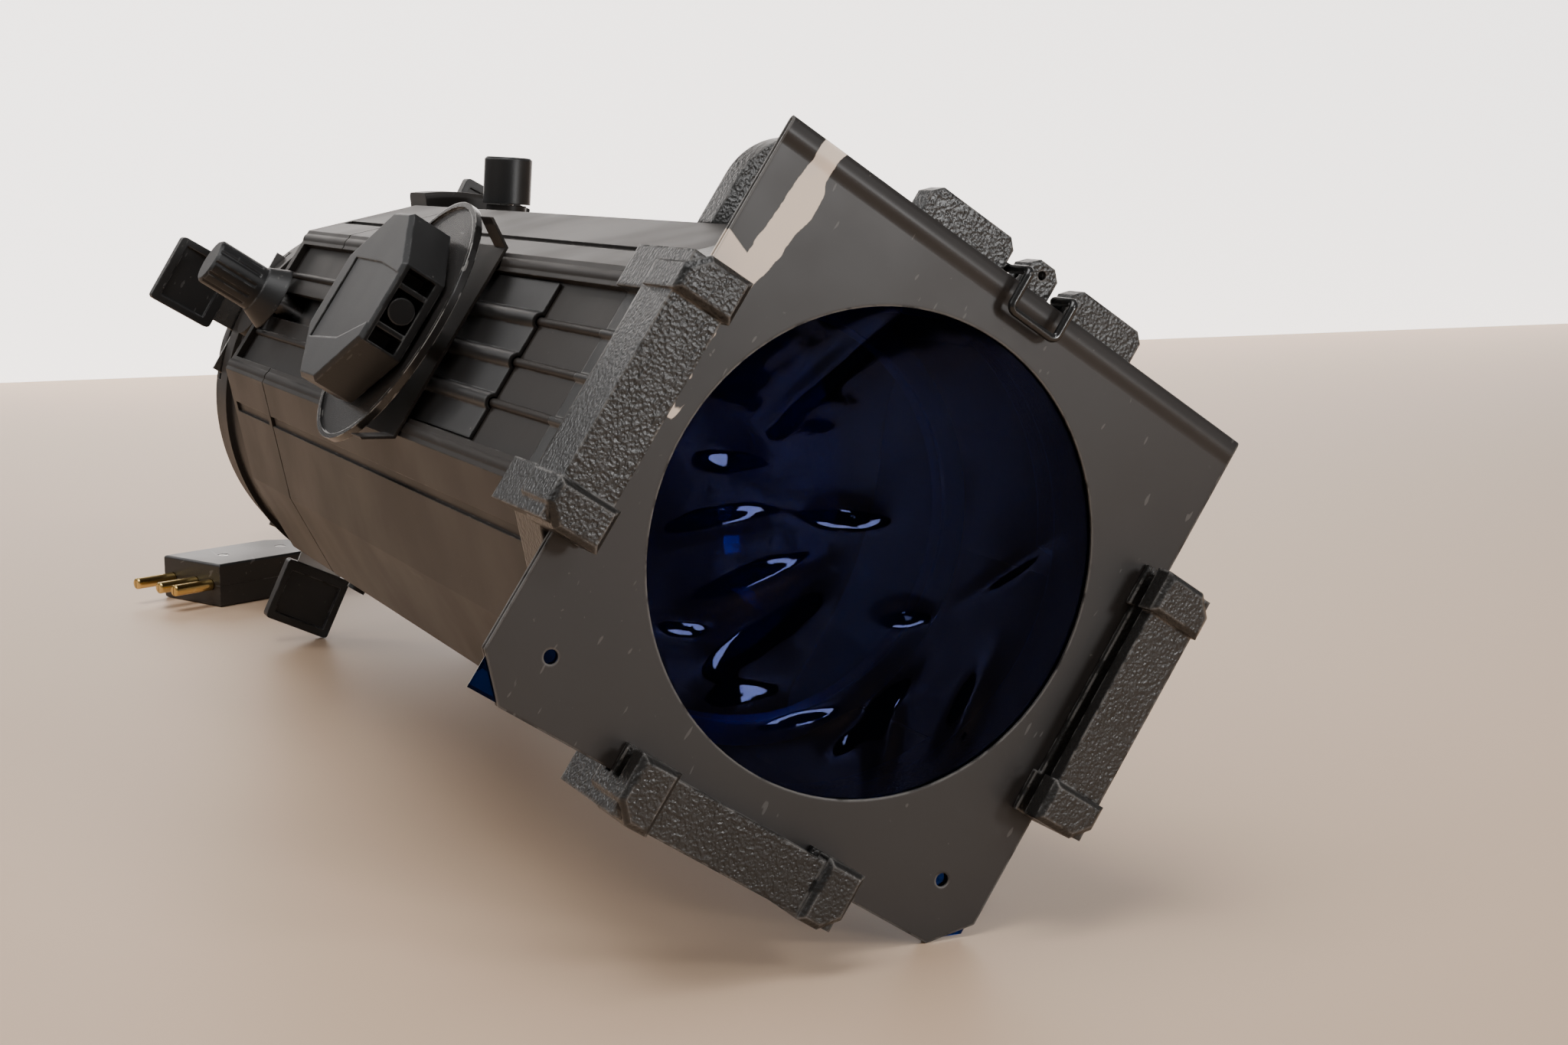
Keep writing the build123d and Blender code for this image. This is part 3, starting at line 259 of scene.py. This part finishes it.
    def relief(self, grain: Grain, size: float, depth: float, below: Optional[Socket] = None,
               share: Optional[Socket] = None) -> Optional[Socket]:
        """The relief of a grain.

        Args:
            grain: the kind.
            size: size of its features, in metres.
            depth: depth, in metres.
            below: a normal to add it to.
            share: how much of the relief shows, from place to place.

        Returns:
            The normal, or None where there is no relief.
        """
        if grain is Grain.POLISHED:
            return below
        if grain is Grain.CAST:
            skin = self.math("MULTIPLY", self.cells(size), 0.8)
            height = self.math("MULTIPLY_ADD", self.noise(size * 0.8, 3.0, twist=0.6), 0.9, skin)
        elif grain is Grain.BRUSHED:
            height = self.noise(size, 2.0, self.stretched((1.0, 0.03, 1.0)))
        else:
            height = self.noise(size, 3.0)
        if share is not None:
            height = self.math("MULTIPLY", height, share)
        return self.bump(height, depth, below)


@dataclass(frozen=True)
class Coat:
    """A painted, moulded or bare finish with colour change, relief and worn edges."""

    name: str
    colour: Colour
    second: Colour
    roughness: float
    grain: Grain = Grain.SATIN
    grain_size: float = 0.0012
    grain_depth: float = 0.00003
    edge: float = 0.0006
    bare: Colour = (0.22, 0.21, 0.20)
    wear: float = 0.35
    dust: float = 0.15
    scratches: float = 0.3
    metallic: float = 0.0
    specular: float = 0.5
    clouds: float = 0.04

    def base(self, graph: NodeGraph) -> tuple[Socket, Socket]:
        """Colour and roughness before special marks are added."""
        clouds = graph.fit(graph.noise(self.clouds, 4.0), 0.38, 0.62)
        colour = graph.mix(clouds, self.colour, self.second)
        specks = graph.fit(graph.noise(0.0011, 2.0), 0.70, 0.78)
        patches = graph.fit(graph.noise(0.02, 3.0), 0.45, 0.65)
        dirt = graph.math("MULTIPLY", graph.math("MULTIPLY", specks, patches), self.dust * 2.0)
        colour = graph.mix(dirt, colour, (0.33, 0.31, 0.28))
        lines = graph.noise(0.0012, 1.0, graph.stretched((1.0, 0.04, 0.3), (0.3, 0.5, 0.9)))
        scratch = graph.math("MULTIPLY", graph.fit(lines, 0.73, 0.76), self.scratches)
        colour = graph.mix(scratch, colour, self.bare)
        worn = graph.fit(graph.edges(self.edge), 0.02, 0.16)
        chipped = graph.fit(graph.noise(0.0035, 4.0), 0.60 - self.wear * 0.3, 0.66 - self.wear * 0.2)
        worn = graph.math("MULTIPLY", worn, chipped)
        colour = graph.mix(graph.math("MULTIPLY", worn, min(1.0, self.wear * 2.0)), colour, self.bare)
        rough = graph.fit(graph.noise(0.02, 3.0), 0.3, 0.7, self.roughness - 0.02, self.roughness + 0.04)
        return colour, rough

    def marks(self, graph: NodeGraph, colour: Socket, rough: Socket) -> tuple[Socket, Socket]:
        """Marks that only one piece has. The plain coat has none."""
        return colour, rough

    def rough_share(self, graph: NodeGraph) -> Optional[Socket]:
        """Where the relief shows, 0 to 1, or None for everywhere."""
        return None

    def form(self, graph: NodeGraph) -> Socket:
        """The normal that the relief is added to."""
        return graph.rounded(self.edge)

    def material(self) -> bpy.types.Material:
        """Build the material."""
        graph = NodeGraph(self.name)
        colour, rough = self.marks(graph, *self.base(graph))
        graph.drive("Base Color", colour)
        graph.drive("Roughness", rough)
        graph.fixed(Metallic=self.metallic, Specular_IOR_Level=self.specular)
        normal = graph.relief(self.grain, self.grain_size, self.grain_depth, self.form(graph),
                              self.rough_share(graph))
        graph.drive("Normal", normal)
        return graph.material


@dataclass(frozen=True)
class CastCoat(Coat):
    """The front casting's paint: leathery on its holders and blocks, smooth on its sunken sides."""

    def rough_share(self, graph: NodeGraph) -> Optional[Socket]:
        """Where the leathery skin shows."""
        behind = graph.fit(graph.axis("Y"), 0.0085, 0.0105)
        beside = graph.fit(graph.math("ABSOLUTE", graph.axis("Z")), 0.0310, 0.0285)
        return graph.math("MULTIPLY_ADD", graph.math("MULTIPLY", behind, beside), -0.93, 1.0)


@dataclass(frozen=True)
class SheetCoat(Coat):
    """The colour frame's paint, with a strip of cream paint down one side and its chips."""

    cream: Colour = (0.86, 0.72, 0.60)
    bead: float = 0.0009

    def form(self, graph: NodeGraph) -> Socket:
        """The rounded edges and the soft bead that the folded upper edge makes."""
        up = graph.axis("Z")
        rise = graph.fit(up, 0.0860, 0.0905)
        fall = graph.fit(up, 0.0905, 0.0955)
        return graph.bump(graph.math("SUBTRACT", rise, fall), self.bead, graph.rounded(self.edge))

    def marks(self, graph: NodeGraph, colour: Socket, rough: Socket) -> tuple[Socket, Socket]:
        """Add the cream strip.

        Args:
            graph: the material's nodes.
            colour, rough: what is there so far.

        Returns:
            The colour and roughness with the strip.
        """
        across, up = graph.axis("X"), graph.axis("Z")
        ragged = graph.math("MULTIPLY_ADD", graph.noise(0.003, 4.0), 0.0022, -0.0011)
        across = graph.math("ADD", across, ragged)
        share = graph.math("DIVIDE", up, 0.096)
        right = graph.curve(share, (
            (0.0, 0.42), (0.08, 0.50), (0.16, 0.40), (0.25, 0.52), (0.33, 0.44), (0.40, 0.45), (0.48, 0.50),
            (0.54, 0.60), (0.61, 0.70), (0.68, 0.74), (0.76, 0.86), (0.84, 0.88), (0.89, 0.76), (1.0, 0.90)))
        right = graph.math("MULTIPLY_ADD", right, 0.014, -0.087)
        inside = graph.fit(graph.math("SUBTRACT", right, across), -0.0001, 0.0002)
        left = graph.math("MULTIPLY_ADD", share, 0.0085, -0.0917)
        upper_edge = graph.fit(graph.math("SUBTRACT", across, left), -0.0001, 0.0002)
        notch = graph.math("MULTIPLY_ADD", across, -0.34, 0.0242)
        lower = graph.fit(graph.math("SUBTRACT", notch, up), -0.0002, 0.0003)
        strip = graph.math("MULTIPLY", inside, graph.math("MAXIMUM", upper_edge, lower))
        patchy = graph.fit(graph.noise(0.006, 3.0, graph.stretched((1.0, 1.0, 0.6))), 0.50, 0.53)
        whole = graph.fit(up, 0.033, 0.040)
        strip = graph.math("MULTIPLY", strip, graph.math("MAXIMUM", whole, patchy))
        strip = graph.math("MULTIPLY", strip, graph.fit(up, 0.0, 0.001))
        chips = graph.fit(graph.noise(0.0024, 2.0), 0.735, 0.75)
        chips = graph.math("MULTIPLY", chips, graph.fit(up, 0.075, 0.06))
        strip = graph.math("MULTIPLY", strip, graph.math("SUBTRACT", 1.0, chips))
        smudge = graph.fit(graph.noise(0.01, 3.0), 0.50, 0.70, 0.0, 0.25)
        cream = graph.mix(smudge, self.cream, (0.62, 0.60, 0.58))
        colour = graph.mix(strip, colour, cream)
        rough = graph.math("MULTIPLY_ADD", strip, 0.12, rough)
        return colour, rough


@dataclass(frozen=True)
class Glazed:
    """Clear or tinted glass and film."""

    name: str
    tint: Colour
    roughness: float = 0.03
    ior: float = 1.45
    ripple: float = 0.00002
    sheen: Colour = (1.0, 1.0, 1.0)

    def material(self) -> bpy.types.Material:
        """Build the material."""
        graph = NodeGraph(self.name)
        haze = graph.fit(graph.noise(0.015, 4.0), 0.45, 0.75, self.roughness, self.roughness + 0.03)
        graph.drive("Roughness", haze)
        streaks = graph.fit(graph.noise(0.02, 3.0, graph.stretched((1.0, 1.0, 0.25))), 0.4, 0.75)
        graph.drive("Base Color", graph.mix(streaks, self.tint, tuple(min(1.0, c * 1.25) for c in self.tint)))
        graph.fixed(Transmission_Weight=1.0, IOR=self.ior, Specular_Tint=self.sheen)
        graph.drive("Normal", graph.bump(graph.noise(0.004, 2.0), self.ripple))
        return graph.material


BARREL_PAINT = Coat(
    "barrel_paint", colour=(0.019, 0.0165, 0.015), second=(0.026, 0.022, 0.0195), roughness=0.42,
    wear=0.25, dust=0.05, grain_depth=0.000008, scratches=0.06, clouds=0.09, specular=0.16,
)
CAST_PAINT = CastCoat(
    "cast_paint", colour=(0.010, 0.0098, 0.0095), second=(0.017, 0.016, 0.015), roughness=0.30,
    grain=Grain.CAST, grain_size=0.0011, grain_depth=0.00026, edge=0.0014, wear=0.6, scratches=0.05,
    dust=0.04, specular=0.42,
)
FRAME_PAINT = SheetCoat(
    "frame_paint", colour=(0.020, 0.0178, 0.0170), second=(0.027, 0.0242, 0.0230), roughness=0.38,
    grain_depth=0.000004, wear=0.8, dust=0.15, scratches=0.25, edge=0.0013, clouds=0.08, specular=0.34,
)
WIRE_PAINT = Coat(
    "wire", colour=(0.008, 0.008, 0.008), second=(0.014, 0.014, 0.014), roughness=0.18,
    grain_depth=0.000004, edge=0.0003,
)
KNOB_PLASTIC = Coat(
    "knob_plastic", colour=(0.0085, 0.0085, 0.0090), second=(0.014, 0.0135, 0.0135), roughness=0.40,
    grain=Grain.SPARKED, grain_size=0.0004, grain_depth=0.00003, edge=0.0010, bare=(0.13, 0.13, 0.13),
    wear=0.45, dust=0.10, specular=0.40,
)
DISC_PLASTIC = Coat(
    "disc_plastic", colour=(0.016, 0.015, 0.0145), second=(0.026, 0.024, 0.023), roughness=0.22,
    grain=Grain.SATIN, grain_size=0.0008, grain_depth=0.00001, edge=0.0006, bare=(0.55, 0.53, 0.50),
    wear=0.5,
)
SHIELD_PLASTIC = Coat(
    "shield_plastic", colour=(0.011, 0.0105, 0.0105), second=(0.017, 0.016, 0.0155), roughness=0.34,
    grain=Grain.SPARKED, grain_size=0.0005, grain_depth=0.000015, edge=0.0008, bare=(0.16, 0.16, 0.16),
)
BARE_STEEL = Coat(
    "steel", colour=(0.40, 0.39, 0.38), second=(0.50, 0.49, 0.48), roughness=0.28, grain=Grain.BRUSHED,
    grain_size=0.0003, grain_depth=0.00001, bare=(0.6, 0.6, 0.6), metallic=1.0, dust=0.1,
)
BLACK_STEEL = Coat(
    "black_steel", colour=(0.02, 0.02, 0.02), second=(0.03, 0.03, 0.03), roughness=0.35, metallic=0.6,
    bare=(0.4, 0.4, 0.4),
)
CAST_ALUMINIUM = Coat(
    "aluminium", colour=(0.48, 0.48, 0.49), second=(0.58, 0.58, 0.59), roughness=0.38,
    grain=Grain.SPARKED, grain_size=0.0008, grain_depth=0.00003, bare=(0.7, 0.7, 0.7), metallic=1.0,
)
MIRROR = Coat(
    "reflector_glass", colour=(0.72, 0.74, 0.78), second=(0.80, 0.81, 0.84), roughness=0.10,
    grain=Grain.SATIN, grain_size=0.006, grain_depth=0.00020, bare=(0.8, 0.8, 0.8), metallic=1.0,
    dust=0.0, scratches=0.0,
)
CERAMIC = Coat(
    "ceramic", colour=(0.78, 0.75, 0.69), second=(0.85, 0.83, 0.78), roughness=0.25,
    bare=(0.6, 0.58, 0.54), scratches=0.0,
)
BRASS = Coat(
    "brass", colour=(0.62, 0.40, 0.12), second=(0.78, 0.56, 0.22), roughness=0.22, grain=Grain.BRUSHED,
    grain_size=0.0004, grain_depth=0.00001, bare=(0.9, 0.75, 0.45), metallic=1.0, dust=0.05,
)
CORD_RUBBER = Coat(
    "cord_sleeve", colour=(0.010, 0.010, 0.010), second=(0.016, 0.016, 0.016), roughness=0.45,
    grain=Grain.SPARKED, grain_size=0.0006, grain_depth=0.00004, wear=0.1, dust=0.3,
)
PLUG_PLASTIC = Coat(
    "plug_plastic", colour=(0.011, 0.0105, 0.0105), second=(0.018, 0.017, 0.0165), roughness=0.42,
    grain=Grain.SPARKED, grain_size=0.0006, grain_depth=0.00005, edge=0.0008, wear=0.3,
)
BLUE_FILM = Glazed(
    "gel", tint=(0.002, 0.028, 0.19), roughness=0.02, ior=1.17, sheen=(0.40, 0.46, 1.0),
)
LENS_GLASS = Glazed(
    "lens_glass", tint=(0.93, 0.96, 0.97), roughness=0.01, ior=1.52, ripple=0.0,
)
QUARTZ = Glazed(
    "lamp_glass", tint=(0.96, 0.97, 0.98), roughness=0.01, ior=1.46, ripple=0.0,
)
FINISHES = (
    BARREL_PAINT, CAST_PAINT, FRAME_PAINT, WIRE_PAINT, KNOB_PLASTIC, DISC_PLASTIC, SHIELD_PLASTIC,
    BARE_STEEL, BLACK_STEEL, CAST_ALUMINIUM, MIRROR, CERAMIC, BRASS, CORD_RUBBER, PLUG_PLASTIC,
    BLUE_FILM, LENS_GLASS, QUARTZ,
)


class Workshop:
    """Keeps the finishes and adds new pieces."""

    def __init__(self) -> None:
        """Build each finish once."""
        self.materials = {finish.name: finish.material() for finish in FINISHES}

    def dress_nodes(self) -> None:
        """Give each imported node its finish, by the record's slot."""
        for part in frame["record"]["subparts"]:
            node = frame["nodes"][part["node"]]
            node.data.materials.clear()
            node.data.materials.append(self.materials[part["material_slot"]])
        LOG.info("dressed %d nodes", len(frame["nodes"]))

    def add(self, name: str, shape: bmesh.types.BMesh, body: Body, slot: str,
            replaces: Sequence[str] = (), smooth: bool = True) -> bpy.types.Object:
        """Make a piece from a bmesh that is in the row frame.

        Args:
            name: the piece's name.
            shape: its shape, which is freed.
            body: what it rides on.
            slot: its finish.
            replaces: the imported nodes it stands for.
            smooth: whether it is shaded smooth.

        Returns:
            The piece.
        """
        mesh = bpy.data.meshes.new(name)
        for face in shape.faces:
            face.smooth = smooth
        shape.to_mesh(mesh)
        shape.free()
        piece = bpy.data.objects.new(name, mesh)
        bpy.context.scene.collection.objects.link(piece)
        mesh.materials.append(self.materials[slot])
        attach(piece, body.value)
        if replaces:
            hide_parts(*replaces)
        LOG.info("built %s", name)
        return piece


@dataclass
class Studio:
    """Camera, floor and light."""

    eye: Vector = Vector((-318.3, -997.5, 243.4)) * MM
    look: Vector = Vector((0.4153, 0.8965, -0.1541))
    lens: float = 53.15

    def camera(self) -> None:
        """Place the camera."""
        data = bpy.data.cameras.new("camera")
        data.lens = self.lens
        data.sensor_width = 36.0
        camera = bpy.data.objects.new("camera", data)
        camera.location = self.eye
        camera.rotation_euler = self.look.to_track_quat("-Z", "Y").to_euler()
        bpy.context.scene.collection.objects.link(camera)
        bpy.context.scene.camera = camera

    def plane(self, name: str, matrix: Matrix, size: float, colour: Colour, glow: float = 0.0) -> None:
        """Add a plain square that isn't part of the object.

        Args:
            name: its name.
            matrix: its place and turn.
            size: half its side, in metres.
            colour: its colour.
            glow: how strongly it shines by itself.
        """
        shape = bmesh.new()
        bmesh.ops.create_grid(shape, x_segments=1, y_segments=1, size=size, matrix=matrix)
        mesh = bpy.data.meshes.new(name)
        shape.to_mesh(mesh)
        shape.free()
        square = bpy.data.objects.new(name, mesh)
        bpy.context.scene.collection.objects.link(square)
        material = bpy.data.materials.new(name)
        material.use_nodes = True
        shader = material.node_tree.nodes["Principled BSDF"]
        shader.inputs["Base Color"].default_value = (*colour, 1.0)
        shader.inputs["Roughness"].default_value = 0.5
        shader.inputs["Emission Color"].default_value = (*colour, 1.0)
        shader.inputs["Emission Strength"].default_value = glow
        mesh.materials.append(material)

    def floor(self) -> None:
        """Lay a plain pale floor and stand a bright screen behind it."""
        self.plane("floor", Matrix.Translation((0.0, -4.3, 0.0)), 6.0, (0.64, 0.45, 0.31))
        upright = Matrix.Translation((1.25, 1.7, 0.42)) @ Matrix.Rotation(math.radians(90.0), 4, "X")
        self.plane("screen", upright @ Matrix.Diagonal((1.45, 0.46, 1.0, 1.0)), 1.0, (1.0, 0.965, 0.94), 2.6)

    def lamp(self, name: str, at: Sequence[float], aim: Sequence[float], size: float, power: float) -> None:
        """Add one soft square light.

        Args:
            name: its name.
            at: where it stands, in metres.
            aim: the point it faces.
            size: length of its side.
            power: power in watts.
        """
        data = bpy.data.lights.new(name, "AREA")
        data.size = size
        data.energy = power
        light = bpy.data.objects.new(name, data)
        light.location = at
        light.rotation_euler = (Vector(aim) - Vector(at)).to_track_quat("-Z", "Y").to_euler()
        bpy.context.scene.collection.objects.link(light)

    def lights(self) -> None:
        """Set the soft lights and a pale surround."""
        middle = (0.0, -0.1, 0.12)
        self.lamp("overhead", (-0.5, -0.4, 2.3), middle, 1.6, 46.0)
        self.lamp("left", (-2.3, -0.4, 1.6), middle, 1.0, 9.0)
        self.lamp("front", (0.9, -2.2, 1.7), middle, 0.6, 14.0)
        self.lamp("window", (1.10, -2.6, 0.50), middle, 0.4, 24.0)
        self.lamp("rear", (-1.6, 1.9, 1.7), middle, 1.0, 18.0)
        world = bpy.data.worlds.new("surround")
        bpy.context.scene.world = world
        world.use_nodes = True
        background = world.node_tree.nodes["Background"]
        background.inputs["Color"].default_value = (1.0, 0.97, 0.95, 1.0)
        background.inputs["Strength"].default_value = 0.22

    def build(self) -> None:
        """Set up the whole studio."""
        self.camera()
        self.floor()
        self.lights()


@dataclass
class PowerLead:
    """The lead: out of the lamp house, down, once more than twice round, and to its plug."""

    radius: float = 4.5 * MM
    coil_centre: Vector = Vector((62.0, 858.0))
    coil_radius: float = 47.0
    coil_turns: float = 2.25
    coil_top: float = 24.75
    coil_step: float = 9.0
    points_per_turn: int = 16

    def route(self) -> list[Vector]:
        """The route's points.

        Returns:
            The points in metres, in the row frame.
        """
        start = [(-16.3, 778.0, 99.8), (-16.3, 806.0, 99.0), (-14.0, 834.0, 90.0), (-4.0, 861.0, 72.0),
                 (12.0, 884.0, 50.0), (34.0, 900.0, 32.0)]
        count = round(self.coil_turns * self.points_per_turn)
        reach = self.coil_radius / math.cos(math.pi / self.points_per_turn) ** 0.5
        turns = []
        for number in range(count + 1):
            share = number / self.points_per_turn
            angle = math.radians(90.0) - 2.0 * math.pi * share
            across = self.coil_centre.x + reach * math.cos(angle)
            along = self.coil_centre.y + reach * math.sin(angle)
            turns.append((across, along, self.coil_top - self.coil_step * share))
        finish = [(109.5, 828.0, 4.5), (103.0, 797.0, 4.5), (84.0, 768.0, 4.5), (54.0, 745.0, 6.5),
                  (24.0, 728.0, 12.0), (-7.2, 712.7, 12.0)]
        shift = Vector((AXIS_IN_ROW.x, AXIS_IN_ROW.y, 0.0))
        return [Vector(point) * MM + shift for point in start + turns + finish]

    def build(self, shop: Workshop) -> None:
        points = self.route()
        data = bpy.data.curves.new("power_lead", "CURVE")
        data.dimensions = "3D"
        spline = data.splines.new("NURBS")
        spline.points.add(len(points) - 1)
        for knot, point in zip(spline.points, points):
            knot.co = (*point, 1.0)
        spline.order_u = 3
        spline.use_endpoint_u = True
        spline.resolution_u = 6
        data.bevel_depth = self.radius
        data.bevel_resolution = 4
        data.use_fill_caps = True
        data.materials.append(shop.materials["cord_sleeve"])
        lead = bpy.data.objects.new("power_lead", data)
        bpy.context.scene.collection.objects.link(lead)
        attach(lead, Body.HOUSING.value)
        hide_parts("cord_lead", "cord_coil", "cord_tail")
        LOG.info("laid the power lead")


@dataclass
class BlueFilm:
    """The wrinkled blue film between the colour frame's two leaves."""

    half: float = 93.5
    middle_y: float = 1.5
    thickness: float = 0.3
    aperture: float = 75.75
    wrinkle: float = 0.8

    def creases(self) -> tuple[tuple[float, float, float, float, float, float], ...]:
        """The larger creases: place across and up, half length and width, turn in degrees, height."""
        return ((-16.6, 6.7, 10.0, 3.2, 25.0, 2.0), (-53.0, -19.7, 14.0, 3.0, 40.0, -1.8),
                (-24.0, -36.0, 22.0, 6.0, 62.0, 3.0), (-34.0, -30.0, 20.0, 3.0, 48.0, -2.0),
                (18.4, -9.9, 7.0, 2.8, 30.0, 2.0), (-17.8, -63.0, 15.0, 5.0, 40.0, -2.4),
                (23.8, -40.3, 17.0, 5.0, 75.0, 2.4), (36.0, -52.0, 16.0, 3.5, 110.0, -2.0),
                (55.0, -32.7, 18.0, 4.5, 95.0, -2.4), (-44.4, 39.6, 26.0, 3.4, 70.0, 0.6),
                (-48.0, -48.0, 16.0, 3.5, 25.0, 2.4), (-62.0, 2.0, 12.0, 4.0, 20.0, 1.0),
                (44.0, 20.0, 16.0, 2.6, 60.0, 0.5), (4.0, -58.0, 20.0, 3.0, 38.0, -2.0))

    def height(self, across: float, up: float) -> float:
        """How far a point of the film stands off its plane.

        Args:
            across, up: the point, in mm from the optical axis.

        Returns:
            The height in mm, toward the front where negative.
        """
        free = max(0.0, 1.0 - (math.hypot(across, up) / self.aperture) ** 6)
        spot = Vector((across / 34.0, up / 34.0, 3.1))
        slack = min(1.0, max(0.15, 0.45 - (across + up) / 110.0))
        total = noise.fractal(spot, 0.9, 2.1, 3) * self.wrinkle * slack
        for x, z, long, wide, turn, rise in self.creases():
            angle = math.radians(turn)
            dx, dz = across - x, up - z
            along = (dx * math.cos(angle) + dz * math.sin(angle)) / long
            beside = (dz * math.cos(angle) - dx * math.sin(angle)) / wide
            total += rise * math.exp(-along ** 2 - beside ** 2)
        return total * free

    def build(self, shop: Workshop) -> None:
        """Make the film."""
        shape = bmesh.new()
        bmesh.ops.create_grid(shape, x_segments=150, y_segments=150, size=self.half * MM,
                              matrix=Matrix.Rotation(math.radians(90.0), 4, "X"))
        for vertex in shape.verts:
            across, up = vertex.co.x / MM, vertex.co.z / MM - 1.0
            vertex.co.z = up * MM
            vertex.co.y = (self.middle_y + self.height(across, up)) * MM
        bmesh.ops.transform(shape, matrix=TO_ROW, verts=shape.verts)
        bmesh.ops.bisect_plane(shape, geom=shape.verts[:] + shape.edges[:] + shape.faces[:],
                               plane_co=(0.0, 0.0, 0.0008), plane_no=(0.0, 0.0, -1.0), clear_outer=True)
        film = shop.add("blue_film", shape, Body.BARREL, "gel", ("gel_film",))
        wall = film.modifiers.new("thickness", "SOLIDIFY")
        wall.thickness = self.thickness * MM
        wall.offset = 0.0


def main() -> None:
    """Build the studio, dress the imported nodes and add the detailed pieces."""
    logging.basicConfig(level=logging.INFO, format="%(name)s: %(message)s")
    shop = Workshop()
    Studio().build()
    PowerLead().build(shop)
    shop.dress_nodes()
    BlueFilm().build(shop)


if __name__ == "__main__":
    main()
